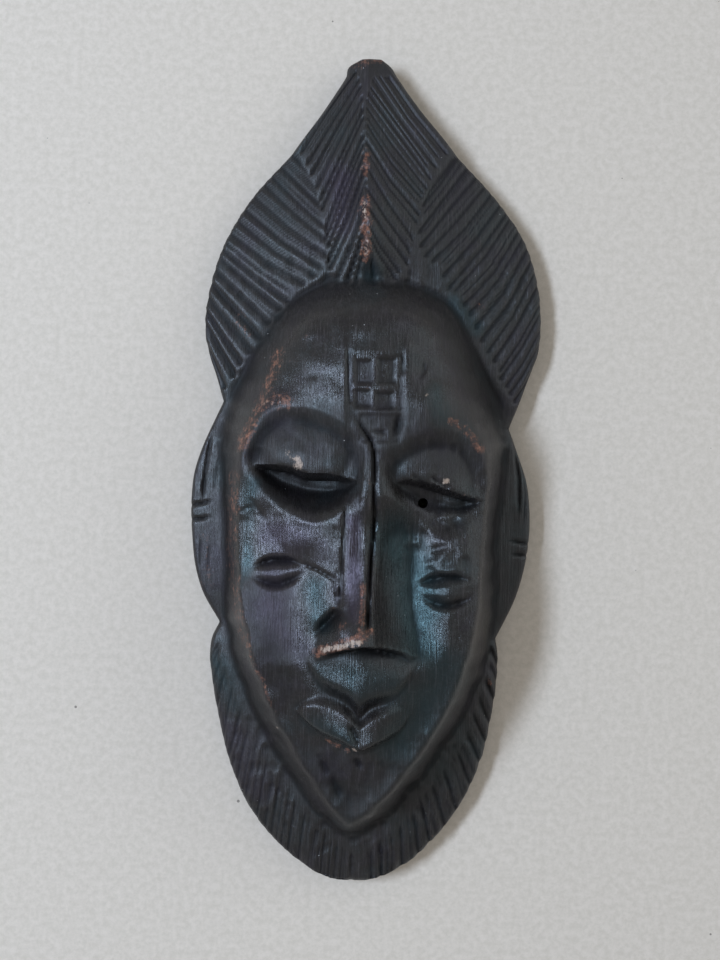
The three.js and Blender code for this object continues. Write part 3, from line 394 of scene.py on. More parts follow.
beard_guides_left = [
    [(-44.6, -58), (-43, -53.6), (-41.2, -49.8)], [(-43.4, -67.5), (-42, -61.7), (-40.7, -55.8)],
    [(-40.3, -77.6), (-39, -68.9), (-37.4, -59.8)],
    [(-38.4, -85.4), (-36.5, -77.6), (-34.3, -68.8)],
    [(-35.7, -92), (-34.3, -84.8), (-32.2, -74.6)],
    [(-31.2, -99.9), (-29.6, -90.5), (-27.7, -80.3)],
    [(-26.4, -106), (-25.1, -97.7), (-23.6, -86.6)], [(-21.4, -111), (-20.1, -102), (-18.5, -91.8)],
    [(-16.6, -115), (-15.6, -107), (-14.3, -97.2)], [(-11.6, -118), (-10.9, -110.5), (-9.9, -102)],
    [(-6.7, -119.2), (-6.2, -113.3), (-5.7, -107)], [(-2.3, -119.4), (-2.1, -113.9), (-1.9, -109)]]
beard_guides_right = [
    [(39.8, -56.4), (38.4, -52.6), (37, -49.4)], [(40, -63.1), (38.5, -59), (36.6, -55)],
    [(38.2, -74.7), (35.7, -69.5), (33.6, -63.8)], [(36.2, -80.6), (33.8, -76), (31.4, -70.8)],
    [(34.6, -86.4), (32.5, -80.9), (29.7, -75.8)], [(32.9, -91.1), (30.5, -85.3), (27.8, -79)],
    [(29.5, -94.4), (27.7, -88.6), (25.2, -82.8)], [(26.4, -99.4), (24.2, -92.7), (21.5, -86.4)],
    [(23.9, -103.8), (22.3, -97.7), (19.8, -90.2)], [(20.8, -108.5), (18.9, -100), (16.7, -92.6)],
    [(16.5, -112), (15.7, -104), (14.4, -97.6)], [(12.2, -115.9), (12, -107.8), (11, -100)],
    [(7.8, -118.3), (7.7, -111.6), (7, -104.7)], [(2.9, -119.3), (2.8, -114.3), (2.7, -109)]]
beard_cuts = (fan(beard_guides_left, 18, 2.1, 0.6, 0.3, 0.3, 0.4)
              + fan(beard_guides_left, 56, 1.0, 0.4, 0, 0.3, 0.45)
              + fan(beard_guides_right, 14, 2.2, 1.0, -0.5, 0.35, 0.25)
              + fan(beard_guides_right, 46, 0.9, 0.35, 0, 0.2, 0.45))


def beard_surface(x, y):
    """Height of the beard, which rises fast from its edge and then levels off"""
    inward = np.minimum.reduce([x - left_edge(y), right_edge(y) - x, 0.9 * (y + LENGTH / 2)])
    cuts = cut_depth(x, y, beard_cuts)
    return RIM_HEIGHT + 4.6 * (1 - np.exp(-np.clip(inward, 0, 40) / 9)) - cuts, cuts


# The face
NOSE_HEIGHT = 10.2
NOSE_END = -46.5  # where its underside meets the upper lip

face_corners = [
    (0, 50.5), (-7, 49), (-12.5, 46.8), (-17.5, 42.9), (-21.8, 38), (-25.2, 31.5), (-28.6, 20),
    (-31.6, 11.8), (-34.2, 3.5), (-35.5, -8), (-35.2, -20), (-33.4, -36.4), (-29.6, -51.5),
    (-23.2, -66.5), (-14.4, -81.5), (-6.4, -93), (-2, -96.8), (2.3, -94.1), (12.3, -81.8),
    (22.5, -65.1), (28.6, -49.5), (31.8, -34), (33, -19), (33.6, -3), (32.3, 6.5), (28.6, 13.5),
    (26, 20), (23.5, 27.5), (21, 34.5), (17.8, 41.5), (13.5, 46.5), (7, 49.5)]
face_edge = through(face_corners, closed=True)
# Down the face: its height on its middle line, how fast it falls to both sides, where that line
# runs, and how round the edge is where the side walls begin
front_height = curve(
    (56, 16.5), (51, 22.4), (46, 28), (41, 31.9), (34, 34.3), (24, 35.7), (8, 36.3), (0, 35.2),
    (-15, 33.6), (-35, 34), (-50, 35), (-65, 35), (-80, 33.6), (-92, 30.5), (-100, 27.5))
front_bow = curve((50, 0.016), (35, 0.016), (22, 0.013), (8, 0.009), (-24, 0.0072),
                  (-42, 0.0045), (-62, 0.0045), (-78, 0.008), (-96, 0.015))
face_axis = curve((50, 0.5), (0, -0.8), (-60, -0.8), (-96, -2))
edge_softness = curve((55, 9), (35, 7), (15, 4.2), (0, 3.4), (-60, 4), (-96, 5))
# How wide the rounded corner is between the face and what lies around it
corner = curve((56, 5), (40, 5), (20, 4.5), (4, 3), (-40, 2.8), (-100, 3.4))
# How steep its side walls are, in mm of height for each mm
wall_slope = curve((56, 1.1), (30, 1.1), (12, 1.5), (0, 2.15), (-100, 2.15))

# The left eye and the right one: where each begins and ends, how deep its socket is above and
# below the lid's edge, how far the lid stands out, how deep the slit is, and the middle and
# half width of the eyeball
EYES = [{
    "socket": through([
        (-33.5, 3.5), (-30.6, 11), (-25.5, 15.6), (-17, 16.2), (-11.3, 14.6), (-6.5, 12.3),
        (-3.2, 9.4), (-0.6, 5), (-1.4, 0), (-2.9, -4.4), (-6, -10.3), (-9.8, -13.2),
        (-13.6, -14.1), (-17.6, -13.3), (-21.8, -11.2), (-25.6, -8.5), (-29.4, -4.4),
        (-32.6, -0.5)], closed=True),
    "lid": curve((-31, 0.8), (-24.8, 0.1), (-20.4, -0.6), (-16.6, -2), (-9.5, -2.3), (-2.4, -3.3)),
    "slit": curve((-31, 0.4), (-28.5, -2.6), (-25.4, -5.4), (-22.6, -7.6), (-19.3, -8.8),
                  (-13.8, -9.8), (-8.3, -8.9), (-4.5, -6.6), (-2.4, -3.6)),
    "brow": curve((-33.5, 5), (-29, 12.3), (-24, 15.6), (-16.7, 15.6), (-6.9, 12.5), (-1, 5.5)),
    "ends": (-31, -2.4), "upper": 3.2, "lower": 4.0, "lift": 3.9, "pit": 3.6,
    "ball": (-9.5, 6.5),
}, {
    "socket": through([
        (4, -2), (4.9, 2.8), (7.5, 5.9), (10.9, 8), (15.8, 9.9), (21.2, 10.6), (25.7, 9.4),
        (29.6, 6.4), (32, 2.2), (33.4, -3), (32.3, -8.2), (30.4, -12.8), (27.3, -16.7),
        (22.9, -18.3), (19.2, -17.2), (15.6, -14.6), (10.8, -11.4), (6.5, -8)], closed=True),
    "lid": curve((8, -3), (12.9, -3.2), (16.2, -4), (21.7, -5.6), (27.2, -7.2), (32.5, -8)),
    "slit": curve((8, -4), (11.5, -8.4), (14.2, -10.6), (19.2, -12.8), (24.7, -12.6),
                  (30.2, -10.3), (32.9, -8.2)),
    "brow": curve((5, 2.5), (7.7, 5.8), (15.8, 9.5), (21.2, 10.1), (29.3, 5.9), (32.5, 1)),
    "ends": (8, 32.8), "upper": 2.6, "lower": 3.2, "lift": 2.7, "pit": 2.2, "ball": (24, 5),
}]


def eye_surface(x, y, eye):
    """A socket under the brow, a domed lid, and the deep slit below it with the eyeball in it"""
    inside = depth_in(x, y, eye["socket"])
    lid, slit, brow = eye["lid"](x), eye["slit"](x), eye["brow"](x)
    upper = smooth(-4, 4, y - lid)
    floor = -mix(eye["lower"] * smooth(-1, 5.5, inside), eye["upper"] * smooth(-1, 4.4, inside),
                 upper)
    start, end = eye["ends"]
    across = np.sin(np.pi * np.clip((x - start) / (end - start), 0, 1)) ** 0.7
    above = (y - lid) / np.maximum(brow - lid, 1)
    dome = np.where(y < lid, smooth(-0.9, 0, y - lid),
                    0.5 + 0.5 * np.cos(np.pi * np.clip((above - 0.05) / 0.95, 0, 1)))
    opening = (y - slit) / np.maximum(lid - slit, 0.6)
    middle, reach = eye["ball"]
    ball = 0.5 * bump((x - middle) / reach) * bump((opening - 0.68) / 0.24)
    pit = eye["pit"] * across * smooth(0, 0.6, opening) * (1 - smooth(1, 1.15, opening)) - ball
    return floor + np.where(inside > 0, eye["lift"] * across * dome * smooth(0, 3, inside) - pit, 0)


nose_x = curve((10, 1.2), (0, 1.6), (-8, 1.7), (-16, 1.8), (-26, 1.2), (-36, 0.9), (-44, 1))
nose_rise = curve((12, 0), (6, 0.05), (0, 0.17), (-8, 0.34), (-21, 0.56), (-34, 0.82), (-42, 1),
                  (-46, 1.02))
nose_flat = curve((10, 1), (0, 2), (-8, 2.4), (-14, 2), (-21, 1.5), (-34, 1.3), (-44, 1.8))
nose_left = curve((10, 2.2), (0, 3.4), (-9.5, 6.2), (-24, 7), (-35, 7.4), (-40, 9.6), (-45, 13),
                  (-50, 13.8))
nose_right = curve((10, 2.6), (0, 4.6), (-8, 9.4), (-24, 11.4), (-36, 12.4), (-44, 13.4),
                   (-50, 14.2))
nose_under = np.array([(-12.6, -49.6), (-9, -48.2), (-5, -46.9), (0, -45.8), (4.5, -46.4),
                       (11, -48.4), (13, -49.6)])


def nose_surface(x, y):
    """A narrow ridge with two sloping sides, undercut at its lower end"""
    out = x - nose_x(y)
    base = np.where(out < 0, nose_left(y), nose_right(y))
    s = np.clip((np.abs(out) - nose_flat(y)) / np.maximum(base - nose_flat(y), 0.5), 0, 1)
    section = (1 - s) * (1 - 0.16 * np.sin(np.pi * s))
    distance, _, side = nearest(x, y, nose_under)
    return NOSE_HEIGHT * nose_rise(y) * section * smooth(1.8, -0.2, -side * distance)


upper_lip = curve((-15, -52), (-13.6, -54.5), (-11, -58), (-6, -61), (-3.2, -62.6), (-0.9, -65.6),
                  (2.2, -63.6), (5.6, -62), (9.2, -60.4), (12, -57.2), (14.5, -52.5))
lobe_top = curve((-17.2, -65), (-15.8, -62.6), (-13.3, -60.9), (-9.8, -60.3), (-5.8, -61.8),
                 (-3.1, -63.8), (-0.9, -66.6), (2.2, -64), (5.4, -62.6), (8.6, -61.9),
                 (10.7, -62.8), (13.2, -65.2))
lobe_bottom = curve((-17.2, -65.6), (-15.6, -67.7), (-13.1, -70.3), (-9.6, -72.4), (-5.6, -73.7),
                    (-2.4, -75.2), (-0.7, -75.9), (4.6, -74.3), (8.3, -72.6), (10.9, -70.2),
                    (13.2, -65.6))


def mouth_surface(x, y):
    """A rounded upper lip over two lobes that meet in a V and stand out most at their lower edge"""
    v = (y - upper_lip(x)) / np.maximum(NOSE_END - upper_lip(x), 1)
    full = np.clip(1 - np.abs((x + 0.2) / 15) ** 1.6, 0, None) ** 0.85
    lip = 3.6 * full * smooth(-0.05, 0.26, v) * smooth(1.7, 0.7, v)
    w = (y - lobe_bottom(x)) / np.maximum(lobe_top(x) - lobe_bottom(x), 0.6)
    lobe = 3.8 * smooth(0, 0.22, w) * smooth(1, 0.7, w) * (1 - 0.5 * np.clip(w, 0, 1))
    left_lobe = 0.65 * smooth(-18.5, -15, x) + 0.35 * smooth(-9, -2.5, x)
    return lip + lobe * left_lobe * smooth(15.5, 1.5, x)


# The hollow along the inside of the jaw, and two curved cuts on each cheek
jaw_hollow = through([(-29, -44), (-25, -56), (-19, -67), (-11.5, -80), (-3, -89), (6.5, -80.5),
                      (15.5, -68), (22, -56), (26, -44)])
scar_cuts = [
    cut(through([(-31.4, -27.8), (-27.4, -25.7), (-23.8, -25), (-20, -25), (-15.8, -26.2)]),
        3.8, 2.0, 0.35, 0.35, 0.2),
    cut(through([(-31.2, -29.4), (-27.2, -31.2), (-23.7, -31.7), (-19.8, -30.4), (-15.8, -27.4)]),
        3.8, 1.8, 0.35, 0.35, -0.2),
    cut(through([(14, -31.4), (18.2, -29.6), (22.4, -28.8), (26, -28.9), (30, -29.8)]),
        4.2, 1.9, 0.35, 0.35, 0.2),
    cut(through([(15, -33.6), (19.4, -36), (23.2, -36.4), (26.6, -35.6), (30.4, -33.2)]),
        4.0, 1.6, 0.35, 0.35, -0.2)]
# The trench that runs from the brow down between the eyes and along the ridge of the nose
trench_width = curve((16, 1.6), (7, 3.2), (0, 3.6), (-12, 3.4), (-25, 2.6), (-36, 2.2), (-43, 1.6))
trench = through([(-4.4, 16.6), (-2.3, 12.9), (-0.2, 9.8), (1.4, 7.2), (2.1, 3.8), (2.3, -0.1),
                  (2.2, -6.6), (2.5, -12), (2.3, -16), (1.6, -26), (1.2, -34), (1.1, -43)])
fine_cuts = [
    # Round the square on the forehead
    cut([(-4.6, 16.6), (-5, 26.9), (-5.4, 34.9)], 1.8, 0.9, 0.1, 0.25),
    cut([(9.2, 31.8), (9.6, 25.6)], 1.1, 0.5),
    cut([(9.4, 16), (8.2, 11.5), (6.4, 8)], 3.6, 0.9, 0.4, 0.4),
    cut([(1.2, 10.1), (5.4, 10.2)], 1.3, 0.6),
    cut([(14.9, 30), (15.3, 27.3), (13.6, 24)], 1.8, 0.6, 0.3, 0.3),
    # Left of the nose: down along it, from the scar to it, and over its wing
    cut([(-5.2, -8), (-5.8, -16.3), (-6.2, -25.4), (-6.4, -33), (-6, -38)], 1.4, 0.7, 0.1, 0.1,
        -0.4),
    cut([(-7.2, -25.8), (-7.6, -31.5), (-6.8, -37)], 1.2, 0.5, 0.2, 0.2),
    cut([(-16.8, -25.6), (-12, -27.2), (-8.6, -29), (-6.6, -30.6)], 1.2, 0.8, 0.1, 0.05),
    cut([(-13.6, -45), (-9.6, -41), (-4.6, -36.6)], 5.4, 2.4, 0.4, 0.3, 0.2),
    # On the right lid, and below the outer corner of the left eye
    cut([(17.4, -1.5), (20.1, -3.2), (23.3, -5)], 1.4, 0.9, 0.1, 0.2),
    cut([(12.4, -1), (16.6, -4.4)], 1.6, 0.8),
    cut([(-34.6, -12.2), (-31.2, -10.3)], 1.2, 0.4),
    cut([(-31.9, -8.2), (-28, -13)], 1.4, 0.4),
    cut([(-29.6, -12.5), (-26.9, -14.1)], 1.2, 0.4),
    # In the lower lip, on the chin and on the right cheek
    cut([(-3.1, -67.6), (-1.9, -70.2), (-0.9, -73)], 2.2, 1.3, 0.3, 0.2),
    cut([(-2.4, -76.6), (0.6, -81.4)], 3.4, 1.3, 0.4, 0.4),
    cut([(-8, -82), (-5, -91)], 4.4, 0.9, 0.4, 0.4),
    cut([(-11, -78), (-8.4, -84)], 3.6, 0.7, 0.4, 0.4),
    cut([(17.2, -22.2), (20.5, -21), (23.6, -20)], 3.4, 0.6, 0.4, 0.4)]
# The four sunk cells of the square: left, right, low and high side
CELLS = [(-3.1, 1.1, 22.9, 29.4), (2.7, 7.4, 23.2, 30), (-3.3, 0.8, 16.8, 21.4),
         (2.4, 7, 16.2, 20.9)]


def box_bump(x, y, left, right, low, high, soft=0.55):
    """1 in a box and 0 outside it, with soft sides"""
    return (smooth(left - soft, left + soft, x) * smooth(right + soft, right - soft, x)
            * smooth(low - soft, low + soft, y) * smooth(high + soft, high - soft, y))


def carved_depth(x, y):
    """The hollows beside nose and mouth, the square on the forehead, and the trench"""
    distance, place, _ = nearest(x, y, jaw_hollow)
    taken = 2.4 * bump(distance / 9) * smooth(0, 0.22, place) * smooth(1, 0.78, place)
    # The valley right of the nose
    taken += 5.2 * bump((x - 9) / 15) * smooth(-5, -18, y) * smooth(-56, -42, y)
    # A flat band down the forehead, the square with its cells in it, and a panel under that
    taken += 0.5 * (smooth(-6.2, -4.6, x) * smooth(10.8, 9.2, x)
                    * smooth(40, 33, y) * smooth(5, 9, y))
    taken += 0.35 * box_bump(x, y, -3.9, 9.3, 16, 31.1)
    for cell in CELLS:
        taken += 0.75 * box_bump(x, y, *cell)
    taken += 0.5 * box_bump(x, y, -2, 8.8, 7.4, 15)
    distance, _, side = nearest(x, y, trench)
    bank = trench_width(y) / 2 * (1 + 0.5 * side)
    groove = 0.9 * np.clip(1 - distance / bank, 0, 1) + 1.1 * np.clip(1 - distance / 0.8, 0, 1)
    taken += groove * smooth(18, 5, y) * smooth(-43.4, -40, y)
    return taken


# The facet of the left cheek rises from this line to the foot of the nose
cheek_start = curve((-8, -27), (-20, -24), (-26, -17.4), (-30, -16.6), (-44, -15.6))
NOSE_FOOT = -6.2


def swellings(x, y):
    """The brow over the right eye, the right cheek, and the flat facet of the left cheek"""
    brow = 1.8 * bump((x - 18) / 9.5) * bump((y - 17) / 11)
    cheek = 2.4 * bump((x - 27) / 12) * bump((y + 24) / 22)
    start = cheek_start(y)
    facet = (np.clip((x - start) / (NOSE_FOOT - start), 0, 1) * np.clip(x / NOSE_FOOT, 0, 1)
             * smooth(-5, -12, y) * smooth(-47, -40, y))
    return brow + cheek + 3.2 * facet


def gouge_stroke():
    """One stroke of the gouge somewhere below the comb: its line and its width. Below the mouth
    the strokes fan out as the beard does."""
    middle = np.array([hand.uniform(-46, 46), hand.uniform(-116, 58)])
    turn = math.radians(90 + hand.normal(0, 24) + (middle[0] * 0.5 if middle[1] < -50 else 0))
    reach = hand.uniform(2.5, 6) * np.array([math.cos(turn), math.sin(turn)])
    return np.array([middle - reach, middle + reach]), hand.uniform(1.5, 2.6)


gouge_strokes = [gouge_stroke() for _ in range(620)]


def gouge_marks(x, y):
    """Shallow overlapping strokes all over, deeper where nobody sanded them: below the mouth,
    high on the forehead, under the right eye and across both eyes"""
    rough = (0.1 + 0.3 * smooth(-66, -80, y) + 0.2 * smooth(34, 44, y)
             + 0.9 * bump((x - 21) / 15) * bump((y + 19) / 14)
             + 0.15 * smooth(-18, -12, y) * smooth(20, 12, y))
    marks = np.zeros(np.shape(x))
    for line, width in gouge_strokes:
        near = close_to(x, y, line, width)
        distance, place, _ = nearest(x[near], y[near], line)
        stroke = np.clip(1 - (distance / width) ** 2, 0, 1) * (0.6 + 0.4 * place)
        marks[near] = np.maximum(marks[near], stroke)
    return rough * marks


ripples = [(hand.uniform(0, math.pi), hand.uniform(6, 15), hand.uniform(0, 2 * math.pi))
           for _ in range(12)]


def wander(x, y):
    """How a surface cut by eye wanders in and out, from about -1 to 1, over 6 to 15 mm"""
    waves = [np.sin(2 * math.pi / length * (x * math.cos(turn) + y * math.sin(turn)) + start)
             for turn, length, start in ripples]
    return np.sum(waves, axis=0) / 4


def face_surface(x, y):
    uneven = wander(x, y)
    front = front_height(y) - front_bow(y) * (x - face_axis(y)) ** 2 + 0.12 * uneven
    nose = nose_surface(x, y)
    sockets = eye_surface(x, y, EYES[0]) + eye_surface(x, y, EYES[1])
    eyes_and_nose = np.maximum(sockets, sockets * smooth(0.5, 3, 3 - nose) + nose)
    cuts = cut_depth(x, y, scar_cuts + fine_cuts)
    top = (front + eyes_and_nose + mouth_surface(x, y) + swellings(x, y) - carved_depth(x, y)
           - cuts)
    # The wall was cut in flats, from one corner of the outline to the next
    depth = mix(depth_in(x, y, face_edge), depth_in(x, y, face_corners), 0.8)
    wall = front + 1.2 + wall_slope(y) * (depth + 0.2 * uneven)
    return -soft_max(-top, -wall, edge_softness(y)), cuts


TEMPLE = 5  # the comb's band lies beside the face above this, the ears below it


def front_surface(x, y):
    """Height of the whole front, and how deep the knife cuts are in it"""
    ear, ear_cut = ear_surface(x, y)
    comb, comb_cut = comb_surface(x, y, ear)
    beard, beard_cut = beard_surface(x, y)
    face, face_cut = face_surface(x, y)
    ear_end = np.where(x < 0, EAR_END["left"], EAR_END["right"])
    on_beard = smooth(1.5, -1.5, y - ear_end)
    around = np.where(y > TEMPLE, comb, mix(ear, beard, on_beard))
    around_cut = np.where(y > TEMPLE, comb_cut, mix(ear_cut, beard_cut, on_beard))
    return (soft_max(face, around, corner(y)) - gouge_marks(x, y) - edge_drop(x, y),
            np.where(around > face, around_cut, face_cut))


# The block of wood, and how many cells its front has each way
ACROSS, ALONG = 184, 474


def spread(v, power, crowd):
    """Moves evenly spaced values from -1 to 1 closer together near both ends"""
    return v * (1 + crowd) - crowd * v ** power


def finished_mesh(name, made):
    """A mesh from what bmesh operators have made"""
    mesh = bpy.data.meshes.new(name)
    made.to_mesh(mesh)
    made.free()
    return mesh


def mesh_points(mesh):
    flat = np.empty(len(mesh.vertices) * 3, np.float32)
    mesh.vertices.foreach_get("co", flat)
    return flat.reshape(-1, 3).astype(float)


def set_points(mesh, points):
    mesh.vertices.foreach_set("co", points.astype(np.float32).ravel())
    mesh.update()


def carve_front():
    """A sheet over the whole outline, from -1 to 1 each way, moved to the height of the carving"""
    sheet = bmesh.new()
    bmesh.ops.create_grid(sheet, x_segments=ACROSS, y_segments=ALONG, size=1)
    mesh = finished_mesh("mask", sheet)
    p = mesh_points(mesh)
    y = LENGTH / 2 * spread(p[:, 1], 13, 0.075)
    part = 0.5 + 0.5 * spread(p[:, 0], 9, 0.1)
    x = mix(left_edge(y), right_edge(y), part)
    z, cuts = front_surface(x, y)
    # A cut that runs out over the edge leaves a nick in the outline
    nick = 0.12 * cuts * np.clip(1 - edge_distance(x, y) / 2.5, 0, 1)
    x = x + np.where(part < 0.5, nick, -nick)
    set_points(mesh, np.column_stack([x, y, z]))
    return mesh


def close_block(mesh):
    """Side walls down from the edge of the sheet, and a flat back"""
    block = bmesh.new()
    block.from_mesh(mesh)
    rim = [e for e in block.edges if e.is_boundary]
    # Each row lies at this share of the height of the row above it
    for share in (0.93, 0.75, 0.5, 0.1, 0):
        made = bmesh.ops.extrude_edge_only(block, edges=rim)["geom"]
        rim = [g for g in made if isinstance(g, bmesh.types.BMEdge)]
        for v in [g for g in made if isinstance(g, bmesh.types.BMVert)]:
            v.co.z *= share
    bmesh.ops.contextual_create(block, geom=rim)
    bmesh.ops.recalc_face_normals(block, faces=block.faces[:])
    block.to_mesh(mesh)
    block.free()


front = carve_front()
close_block(front)
mask = add_object("carved_mask", front)

HOLLOW = {"x": -0.5, "y": -22, "half_width": 33, "half_length": 61, "depth": 22}
EYE_HOLE = {"x": 15.9, "y": -8.8, "radius": 1.4}


def gouged_bowl():
    """The body of the hollow, scooped out with a wide gouge, as a tool to cut with"""
    bowl = bmesh.new()
    radii = np.linspace(1, 0, 15)
    # It starts 3 mm below the back, to cut right through it
    profile = [(1, 0, -3)] + [
        (r, 0, HOLLOW["depth"] * (1 - r ** 3.5) ** 0.6) for r in radii]
    verts = [bowl.verts.new(p) for p in profile]
    edges = [bowl.edges.new(pair) for pair in zip(verts[:-1], verts[1:])]
    bmesh.ops.spin(bowl, geom=verts + edges, cent=(0, 0, 0), axis=(0, 0, 1),
                   angle=2 * math.pi, steps=72, use_merge=True)
    bmesh.ops.remove_doubles(bowl, verts=bowl.verts[:], dist=1e-5)
    bmesh.ops.holes_fill(bowl, edges=[e for e in bowl.edges if e.is_boundary])
    for v in bowl.verts:
        angle = math.atan2(v.co.y, v.co.x)
        scoop = 0.5 * abs(math.sin(9 * angle + 1.5 * math.sin(3 * angle) + 0.12 * v.co.z))
        if v.co.z > 0.5:
            v.co.z -= scoop * min(v.co.z / 6, 1)
        v.co.x = v.co.x * HOLLOW["half_width"] + HOLLOW["x"]
        v.co.y = v.co.y * HOLLOW["half_length"] + HOLLOW["y"]
    bmesh.ops.recalc_face_normals(bowl, faces=bowl.faces[:])
    return finished_mesh("hollow", bowl)


def awl():
    """A slightly tapered round tool that goes right through one eye"""
    tool = bmesh.new()
    bmesh.ops.create_cone(tool, cap_ends=True, segments=20, radius1=EYE_HOLE["radius"] * 0.85,
                          radius2=EYE_HOLE["radius"] * 1.15, depth=50)
    bmesh.ops.translate(tool, verts=tool.verts[:], vec=(EYE_HOLE["x"], EYE_HOLE["y"], 28))
    return finished_mesh("awl", tool)


def cut_away(piece, tool_mesh):
    tool = add_object("tool", tool_mesh)
    cutter = piece.modifiers.new("cut", "BOOLEAN")
    cutter.operation, cutter.object, cutter.solver = "DIFFERENCE", tool, "EXACT"
    cut_mesh = bpy.data.meshes.new_from_object(
        piece.evaluated_get(bpy.context.evaluated_depsgraph_get()))
    piece.modifiers.clear()
    piece.data = cut_mesh
    bpy.data.objects.remove(tool)


cut_away(mask, gouged_bowl())
cut_away(mask, awl())
front = mask.data
front.name = "carved_mask"


# Wear and dirt, kept as attributes of the mesh
def proudness(mesh, rounds):
    """How far each point stands out from the mean of what lies around it, further for more
    rounds: a millimetre or two around it for 5"""
    points = mesh_points(mesh)
    edges = np.empty(len(mesh.edges) * 2, np.int32)
    mesh.edges.foreach_get("vertices", edges)
    ends = np.r_[edges[0::2], edges[1::2]]
    others = np.r_[edges[1::2], edges[0::2]]
    count = np.bincount(ends, minlength=len(points))
    normals = np.empty(len(points) * 3, np.float32)
    mesh.vertices.foreach_get("normal", normals)
    around = points.copy()
    for _ in range(rounds):
        around = np.column_stack([
            np.bincount(ends, around[others, k], len(points)) / count for k in range(3)])
    return ((points - around) * normals.reshape(-1, 3)).sum(1)


def patch(x, y, line, width):
    """1 on a line, falling to 0 half its width away"""
    line = np.array(line, float)
    distance = (np.hypot(x - line[0][0], y - line[0][1]) if len(line) == 1
                else nearest(x, y, line)[0])
    return smooth(width / 2, 0, distance)


# Where hands and tables have rubbed the stain thin and the wood shows red-brown: line, width,
# strength
RUBBED = [
    ([(-34.6, 6.6), (-32, 11.6), (-29.6, 17.4), (-27.6, 23), (-26, 28), (-24.9, 32.4)], 9, 0.6),
    ([(-29.6, 17), (-25.5, 18.6), (-22, 18.4)], 11, 0.66), ([(-26.2, 25), (-24.6, 30)], 8, 0.55),
    ([(23, 13.6), (26, 12), (29, 9.4), (31.4, 6.6)], 6, 0.7),
    ([(-1.4, 90), (-1.5, 84)], 5, 0.68), ([(-1.4, 76), (-1.2, 60)], 6, 0.7),
    ([(-12.4, -49), (-8.7, -47), (-4.7, -45.2), (-1.3, -43.6), (1.3, -42.6)], 5.5, 0.8),
    ([(-0.4, -31), (-0.6, -42)], 5, 0.5), ([(-7, -37), (-4, -43)], 6, 0.35),
    ([(32.2, 48.6)], 5, 0.6), ([(37.3, -61.1)], 5, 0.6), ([(-6, 118), (2, 119.5)], 7, 0.6),
    ([(-9, -72.8), (-3, -75.4)], 3.4, 0.6), ([(-34.8, 38), (-37, 44)], 7, 0.35),
    ([(-46.5, -18), (-45, -34)], 10, 0.4),
    ([(-37.5, -2), (-38, -24), (-36, -38), (-33, -48)], 9, 0.5),
    ([(-20, 30), (-17, 36)], 10, 0.25), ([(-31, -50), (-24, -64)], 6, 0.28)]
# Where the bare pale wood shows
BARE = [
    ([(-18.9, 2.6), (-18.1, 0.8)], 7, 0.68), ([(-21, 4), (-19.5, 3)], 6, 0.5),
    ([(21.8, -2.8)], 5.4, 0.66), ([(-1.7, -74.8)], 4, 0.66), ([(15.8, 20.2)], 3.4, 0.6),
    ([(-1.5, 75.4), (-1.4, 71)], 4, 0.62), ([(-1.2, 64), (-1, 61)], 3.4, 0.58),
    ([(-10.4, -48), (-5.2, -46), (-1, -44.6)], 4.2, 0.72), ([(-22.9, -71)], 1.5, 1),
    ([(-28.4, 17.4), (-26.4, 18)], 5, 0.5), ([(-1, -44)], 3.4, 0.5), ([(26, 12)], 3.4, 0.48)]
# The deepest corners, under the lids, nose and lip and along the walls of the jaw: dust and thick
# stain lie there, and painted shade is laid over them to darken them further
DUST_AND_SHADE_PATCHES = [
    ([(-28, -4), (-23.5, -5), (-18, -6), (-10, -6.4), (-4, -5)], 12, 0.9),
    ([(-31.5, 4), (-29, 9), (-26, 11.5)], 6, 0.8),
    ([(12, -7), (17, -9), (23, -9.6), (29, -8.6)], 5, 0.7),
    ([(14.4, -7.4), (18.4, -9.4)], 5.4, 1),
    ([(-10, -41.4), (-5.4, -38.4)], 6, 0.9), ([(-8, -48.6), (0, -47.6), (8, -48.4)], 4, 0.9),
    ([(-1, -66.8)], 3.4, 0.9), ([(-9, -79), (-5, -90)], 14, 0.4),
    ([(-26, -46), (-21, -60)], 12, 0.4), ([(-31, -58), (-21, -76), (-9, -94), (0, -100)], 11, 0.5),
    ([(34, -50), (25, -70), (10, -94)], 11, 0.4),
    ([(-29, -3), (-24, -8), (-14, -10.4), (-6, -8), (-3, -5)], 7, 0.9)]
# Painted reflection: the shine is tinted violet where the value is below 0 and blue-green where
# it is above 0, and the stain's colour is lifted a little towards that tint
PAINTED_REFLECTION_PATCHES = [
    ([(-24, -18), (-22, -44)], 24, -0.7), ([(-14, -18), (-13, -24)], 14, -0.3),
    ([(-13, -32), (-11, -42)], 12, 1), ([(-31, -50), (-22, -64)], 14, -0.2),
    ([(-3, -14), (-2.4, -38)], 7, -1),
    ([(-40, -72), (-30, -92)], 18, -0.6), ([(-8, 84), (-8, 70)], 14, -0.8),
    ([(-31.6, -4), (-32.4, -28)], 8, 0.7), ([(8, -18), (14, -30), (16, -46)], 22, 1.4),
    ([(22, -54), (10, -74)], 22, 1), ([(-10, -55), (8, -58)], 18, 0.8),
    ([(-12, -68), (-4, -72)], 12, 0.8), ([(25, 49), (31, 41)], 8, 0.8),
    ([(19, 22), (20, 14)], 10, 0.8), ([(-42, -58), (-38, -70)], 14, 0.8), ([(1, 56)], 9, 0.8)]


def add_attribute(mesh, name, values):
    mesh.attributes.new(name, "FLOAT", "POINT").data.foreach_set(
        "value", values.astype(np.float32))


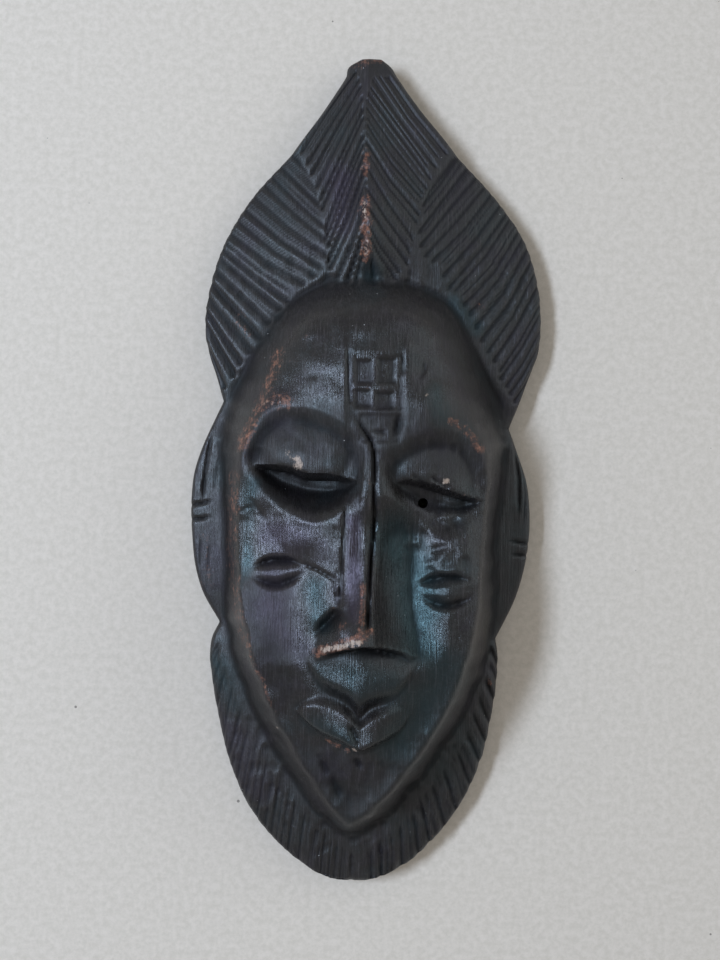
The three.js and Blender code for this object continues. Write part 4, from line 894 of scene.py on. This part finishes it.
def age(mesh):
    """Rubs, polishes and soils the mask by place, but for its flat back. It also paints shade into
    the mask's cuts, hollows and corners, and a violet and blue-green reflection tint onto it.
    """
    x, y, z = mesh_points(mesh).T
    shown = smooth(3, 6, z)
    proud = proudness(mesh, 5)
    # Painted shade in the larger hollows
    hollow = smooth(-0.1, -0.9, proudness(mesh, 40))
    rubbed, bare, dark = (
        np.max([strength * patch(x, y, line, width) for line, width, strength in marks], axis=0)
        for marks in (RUBBED, BARE, DUST_AND_SHADE_PATCHES))
    # Painted reflection tint, violet below 0 and blue-green above
    painted_reflection = sum(value * patch(x, y, line, width) for line, width, value in PAINTED_REFLECTION_PATCHES)
    on_face = smooth(-1.5, 1.5, depth_in(x, y, face_edge))
    scars = smooth(0.3, 1.4, cut_depth(x, y, scar_cuts)) * on_face
    # The face was sanded from the eyes to the nose's end, but for its left jaw, on the forehead,
    # and round the mouth. Elsewhere hands have polished the crests between the cuts, and the ears
    # and the beard a little all over.
    left_jaw = smooth(-16, -22, x) * smooth(-24, -34, y)
    sanded = (smooth(5, -6, y) * smooth(-58, -46, y) * (1 - left_jaw)
              + smooth(46, 40, y) * smooth(14, 20, y) + smooth(-78, -72, y) * smooth(-50, -54, y))
    crests = 0.3 * smooth(30, 12, y) + 0.5 * smooth(0, 0.16, proud)
    polish = np.clip(mix(crests, sanded, on_face), 0, 1) * shown
    add_attribute(mesh, "rubbed", np.clip(rubbed + 0.25 * smooth(0.04, 0.2, proud), 0, 1) * shown)
    add_attribute(mesh, "bare", bare * shown)
    add_attribute(mesh, "painted_reflection", np.clip(painted_reflection, -1, 1.4) * shown)
    add_attribute(mesh, "polish", polish)
    # Dust and thick stain in the cuts and scars, and painted shade in the hollows and the listed
    # dark corners
    add_attribute(mesh, "dust_and_painted_shade", np.clip(
        mix(0.8, 0.5, on_face) * smooth(0.02, -0.16, proud)
        + 0.5 * hollow * (1 - 0.8 * polish) * on_face + dark + 0.5 * scars, 0, 1))


age(front)


# Materials
def node(tree, kind, inputs, output=0, **properties):
    """Adds a shader node and gives back one of its outputs. Each input takes a plain value or
    another node's output. Inputs go by name, or by number where several share one name."""
    made = tree.nodes.new("ShaderNode" + kind)
    for name, value in properties.items():
        setattr(made, name, value)
    for name, value in inputs.items():
        if isinstance(value, bpy.types.NodeSocket):
            tree.links.new(value, made.inputs[name])
        else:
            made.inputs[name].default_value = value
    return made.outputs[output]


def new_material(name):
    material = bpy.data.materials.new(name)
    material.use_nodes = True
    tree = material.node_tree
    return material, tree, tree.nodes["Principled BSDF"]


def stained_wood():
    """Light hardwood, knife-carved, stained nearly black and waxed. The stain has a satin shine,
    lies thickest in the cuts, and is rubbed to red-brown and then to pale wood at its edges.
    Painted shade darkens it further in the cuts and corners, and a painted reflection tints its
    shine and colour violet in some places and blue-green in others."""
    material, tree, shader = new_material("hardwood, carved, black stain, waxed")
    place = node(tree, "TexCoord", {}, "Object")
    # Wear and polish, with the painted shade and the painted reflection tint
    rubbed, bare, dust_and_painted_shade, polish, painted_reflection = (
        node(tree, "Attribute", {}, "Fac", attribute_name=name)
        for name in ("rubbed", "bare", "dust_and_painted_shade", "polish", "painted_reflection"))
    # Fibres run along the mask. Real ones are about 0.1 mm wide, drawn 0.4 mm wide and 10 mm
    # long so that they show.
    along = node(tree, "Mapping", {"Vector": place, "Scale": (1 / 0.0004, 1 / 0.01, 1 / 0.002)})
    fibre = node(tree, "TexNoise",
                 {"Vector": along, "Scale": 1.0, "Detail": 3.0, "Roughness": 0.65})
    # Stain lies in clouds about 15 mm across
    cloud = node(tree, "TexNoise",
                 {"Vector": place, "Scale": 1 / 0.015, "Detail": 5.0, "Roughness": 0.65})
    # Small scuffs about 1.5 mm across break up the edges of the worn places
    scuff = node(tree, "TexNoise",
                 {"Vector": place, "Scale": 1 / 0.0015, "Detail": 6.0, "Roughness": 0.75})
    # Dust and lint lie about in specks 0.3 mm wide, one in a few of these 2.6 mm cells
    speck = node(tree, "TexVoronoi", {"Vector": place, "Scale": 1 / 0.0026}, "Distance")
    speck_size = node(tree, "MapRange", {"Value": speck.node.outputs["Color"], "From Min": 0.65,
                                         "From Max": 0.95, "To Min": 0.0, "To Max": 0.07})
    dust = node(tree, "Math", {0: speck, 1: speck_size}, operation="LESS_THAN")

    tone = node(tree, "MapRange", {"Value": cloud, "From Min": 0.3, "From Max": 0.7},
                interpolation_type="SMOOTHSTEP")
    light_fibre = node(tree, "MapRange", {"Value": fibre, "From Min": 0.48, "From Max": 0.8},
                       interpolation_type="SMOOTHSTEP")
    # Dust that caught in the wax makes it a little greyer in fine spots
    dusty = node(tree, "MapRange",
                 {"Value": scuff, "From Min": 0.5, "From Max": 0.75, "To Max": 0.3})
    # Thick stain and dust in the cuts, with painted shade in the hollows and corners
    thick_stain_and_painted_shade = node(tree, "Math", {0: dust_and_painted_shade, 1: 0.85}, operation="MULTIPLY")

    # Painted reflection: the shine is tinted violet in some places and blue-green in others,
    # drifting in clouds, and the stain's colour is lifted a little towards the same tints
    drift = node(tree, "MapRange", {"Value": cloud, "From Min": 0.3, "From Max": 0.7,
                                    "To Min": -0.5, "To Max": 0.5})
    hue = node(tree, "Math", {0: painted_reflection, 1: drift}, operation="ADD")
    violet = node(tree, "MapRange", {"Value": hue, "From Max": -1.0})
    green = node(tree, "MapRange", {"Value": hue, "From Max": 1.2})
    tint = linear("#ffffff")
    for share, over in ((violet, "#f4e4f8"), (green, "#c8f4f8")):
        tint = node(tree, "Mix", {0: share, 6: tint, 7: linear(over)}, 2, data_type="RGBA")
    tree.links.new(tint, shader.inputs["Specular Tint"])
    # The painted reflection also lifts the base colour a little
    painted_violet_reflection = node(tree, "Math", {0: violet, 1: 0.16}, operation="MULTIPLY")
    painted_green_reflection = node(tree, "Math", {0: green, 1: 0.12}, operation="MULTIPLY")

    # The worn places follow the scuffs and the fibres, so that they break into specks and streaks
    streak = node(tree, "Math", {0: fibre, 1: 0.5}, operation="MULTIPLY")
    broken = node(tree, "Math", {0: scuff, 1: 1.5, 2: streak}, operation="MULTIPLY_ADD")
    wear = node(tree, "Math", {0: broken, 1: rubbed}, operation="ADD")
    worn = node(tree, "MapRange", {"Value": wear, "From Min": 1.42, "From Max": 1.9},
                interpolation_type="SMOOTHSTEP")
    loss = node(tree, "Math", {0: broken, 1: bare}, operation="ADD")
    bared = node(tree, "MapRange", {"Value": loss, "From Min": 1.45, "From Max": 1.75},
                 interpolation_type="SMOOTHSTEP")
    fresh = node(tree, "MapRange", {"Value": scuff, "From Min": 0.45, "From Max": 0.68})

    stain, red, pale = (
        node(tree, "Mix", {0: share, 6: linear(dark), 7: linear(light)}, 2, data_type="RGBA")
        for share, dark, light in ((tone, "#161413", "#221e1d"), (fresh, "#3f2620", "#94644e"),
                                   (light_fibre, "#a08b7b", "#cfbfb2")))
    # Over the stain lie, one on the other: lighter fibres, dust in the wax, thick stain and dust in
    # the cuts with painted shade over them, a painted violet and blue-green reflection, red-brown
    # wood, pale wood, and loose dust
    colour = stain
    for share, over in ((light_fibre, linear("#383333")), (dusty, linear("#3d3938")),
                        (thick_stain_and_painted_shade, linear("#0d0b0c")), (painted_violet_reflection, linear("#4a424f")),
                        (painted_green_reflection, linear("#2a464c")), (worn, red), (bared, pale),
                        (dust, linear("#a9a6a3"))):
        colour = node(tree, "Mix", {0: share, 6: colour, 7: over}, 2, data_type="RGBA")
    tree.links.new(colour, shader.inputs["Base Color"])

    # Wax leaves a satin shine, more where a hand has polished it and less in the cuts, and it is
    # uneven from one scuff to the next
    shine = node(tree, "MapRange", {"Value": broken, "From Min": 0.6, "From Max": 1.4,
                                    "To Min": 0.4, "To Max": 0.6})
    gloss = node(tree, "Math", {0: polish, 1: 0.25}, operation="MULTIPLY")
    shine = node(tree, "Math", {0: shine, 1: gloss}, operation="SUBTRACT")
    dull = node(tree, "Math", {0: dust_and_painted_shade, 1: 0.2}, operation="MULTIPLY")
    shine = node(tree, "Math", {0: shine, 1: dull}, operation="ADD")
    tree.links.new(shine, shader.inputs["Roughness"])
    shader.inputs["IOR"].default_value = 1.5
    # Dust in the cuts, and the painted shade in the corners, take the shine away
    level = node(tree, "MapRange", {"Value": dust_and_painted_shade, "To Min": 0.5, "To Max": 0.26})
    tree.links.new(level, shader.inputs["Specular IOR Level"])

    # Fibres stand out by up to 0.2 mm, and scuffs by 0.1 mm
    grain = node(tree, "Bump", {"Height": fibre, "Strength": 0.7, "Distance": 0.0003})
    rough = node(tree, "Bump",
                 {"Height": scuff, "Normal": grain, "Strength": 0.25, "Distance": 0.0004})
    tree.links.new(rough, shader.inputs["Normal"])
    return material


def table_card():
    """Recycled grey card, pressed and uncoated: matt, with a cloudy tone and stray flecks"""
    material, tree, shader = new_material("grey card, pressed, uncoated")
    place = node(tree, "TexCoord", {}, "Object")
    # Pulp clouds about 2 mm across
    cloud = node(tree, "TexNoise",
                 {"Vector": place, "Scale": 1 / 0.002, "Detail": 6.0, "Roughness": 0.7})
    tone = node(tree, "MapRange", {"Value": cloud, "From Min": 0.3, "From Max": 0.7},
                interpolation_type="SMOOTHSTEP")
    # Stray dark flecks up to 0.9 mm wide, in a few of these 9 mm cells
    speck = node(tree, "TexVoronoi", {"Vector": place, "Scale": 1 / 0.009}, "Distance")
    speck_size = node(tree, "MapRange", {"Value": speck.node.outputs["Color"], "From Min": 0.55,
                                         "From Max": 0.9, "To Min": 0.0, "To Max": 0.05})
    fleck = node(tree, "Math", {0: speck, 1: speck_size}, operation="LESS_THAN")
    pulp = linear("#ccc0b1")
    for share, over in ((tone, "#dacdbf"), (fleck, "#8f867c")):
        pulp = node(tree, "Mix", {0: share, 6: pulp, 7: linear(over)}, 2, data_type="RGBA")
    tree.links.new(pulp, shader.inputs["Base Color"])
    shader.inputs["Roughness"].default_value = 0.9
    shader.inputs["Specular IOR Level"].default_value = 0.2
    relief = node(tree, "Bump", {"Height": cloud, "Strength": 0.3, "Distance": 0.0002})
    tree.links.new(relief, shader.inputs["Normal"])
    return material


# Finishing
set_points(front, mesh_points(front) * MM)
front.shade_smooth()
front.set_sharp_from_angle(angle=math.radians(50))
front.materials.clear()
front.materials.append(stained_wood())
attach(mask, "root")
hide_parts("mask")

card = bmesh.new()
bmesh.ops.create_grid(card, x_segments=1, y_segments=1, size=2)
card_mesh = finished_mesh("table", card)
card_mesh.materials.append(table_card())
table = add_object("table", card_mesh)
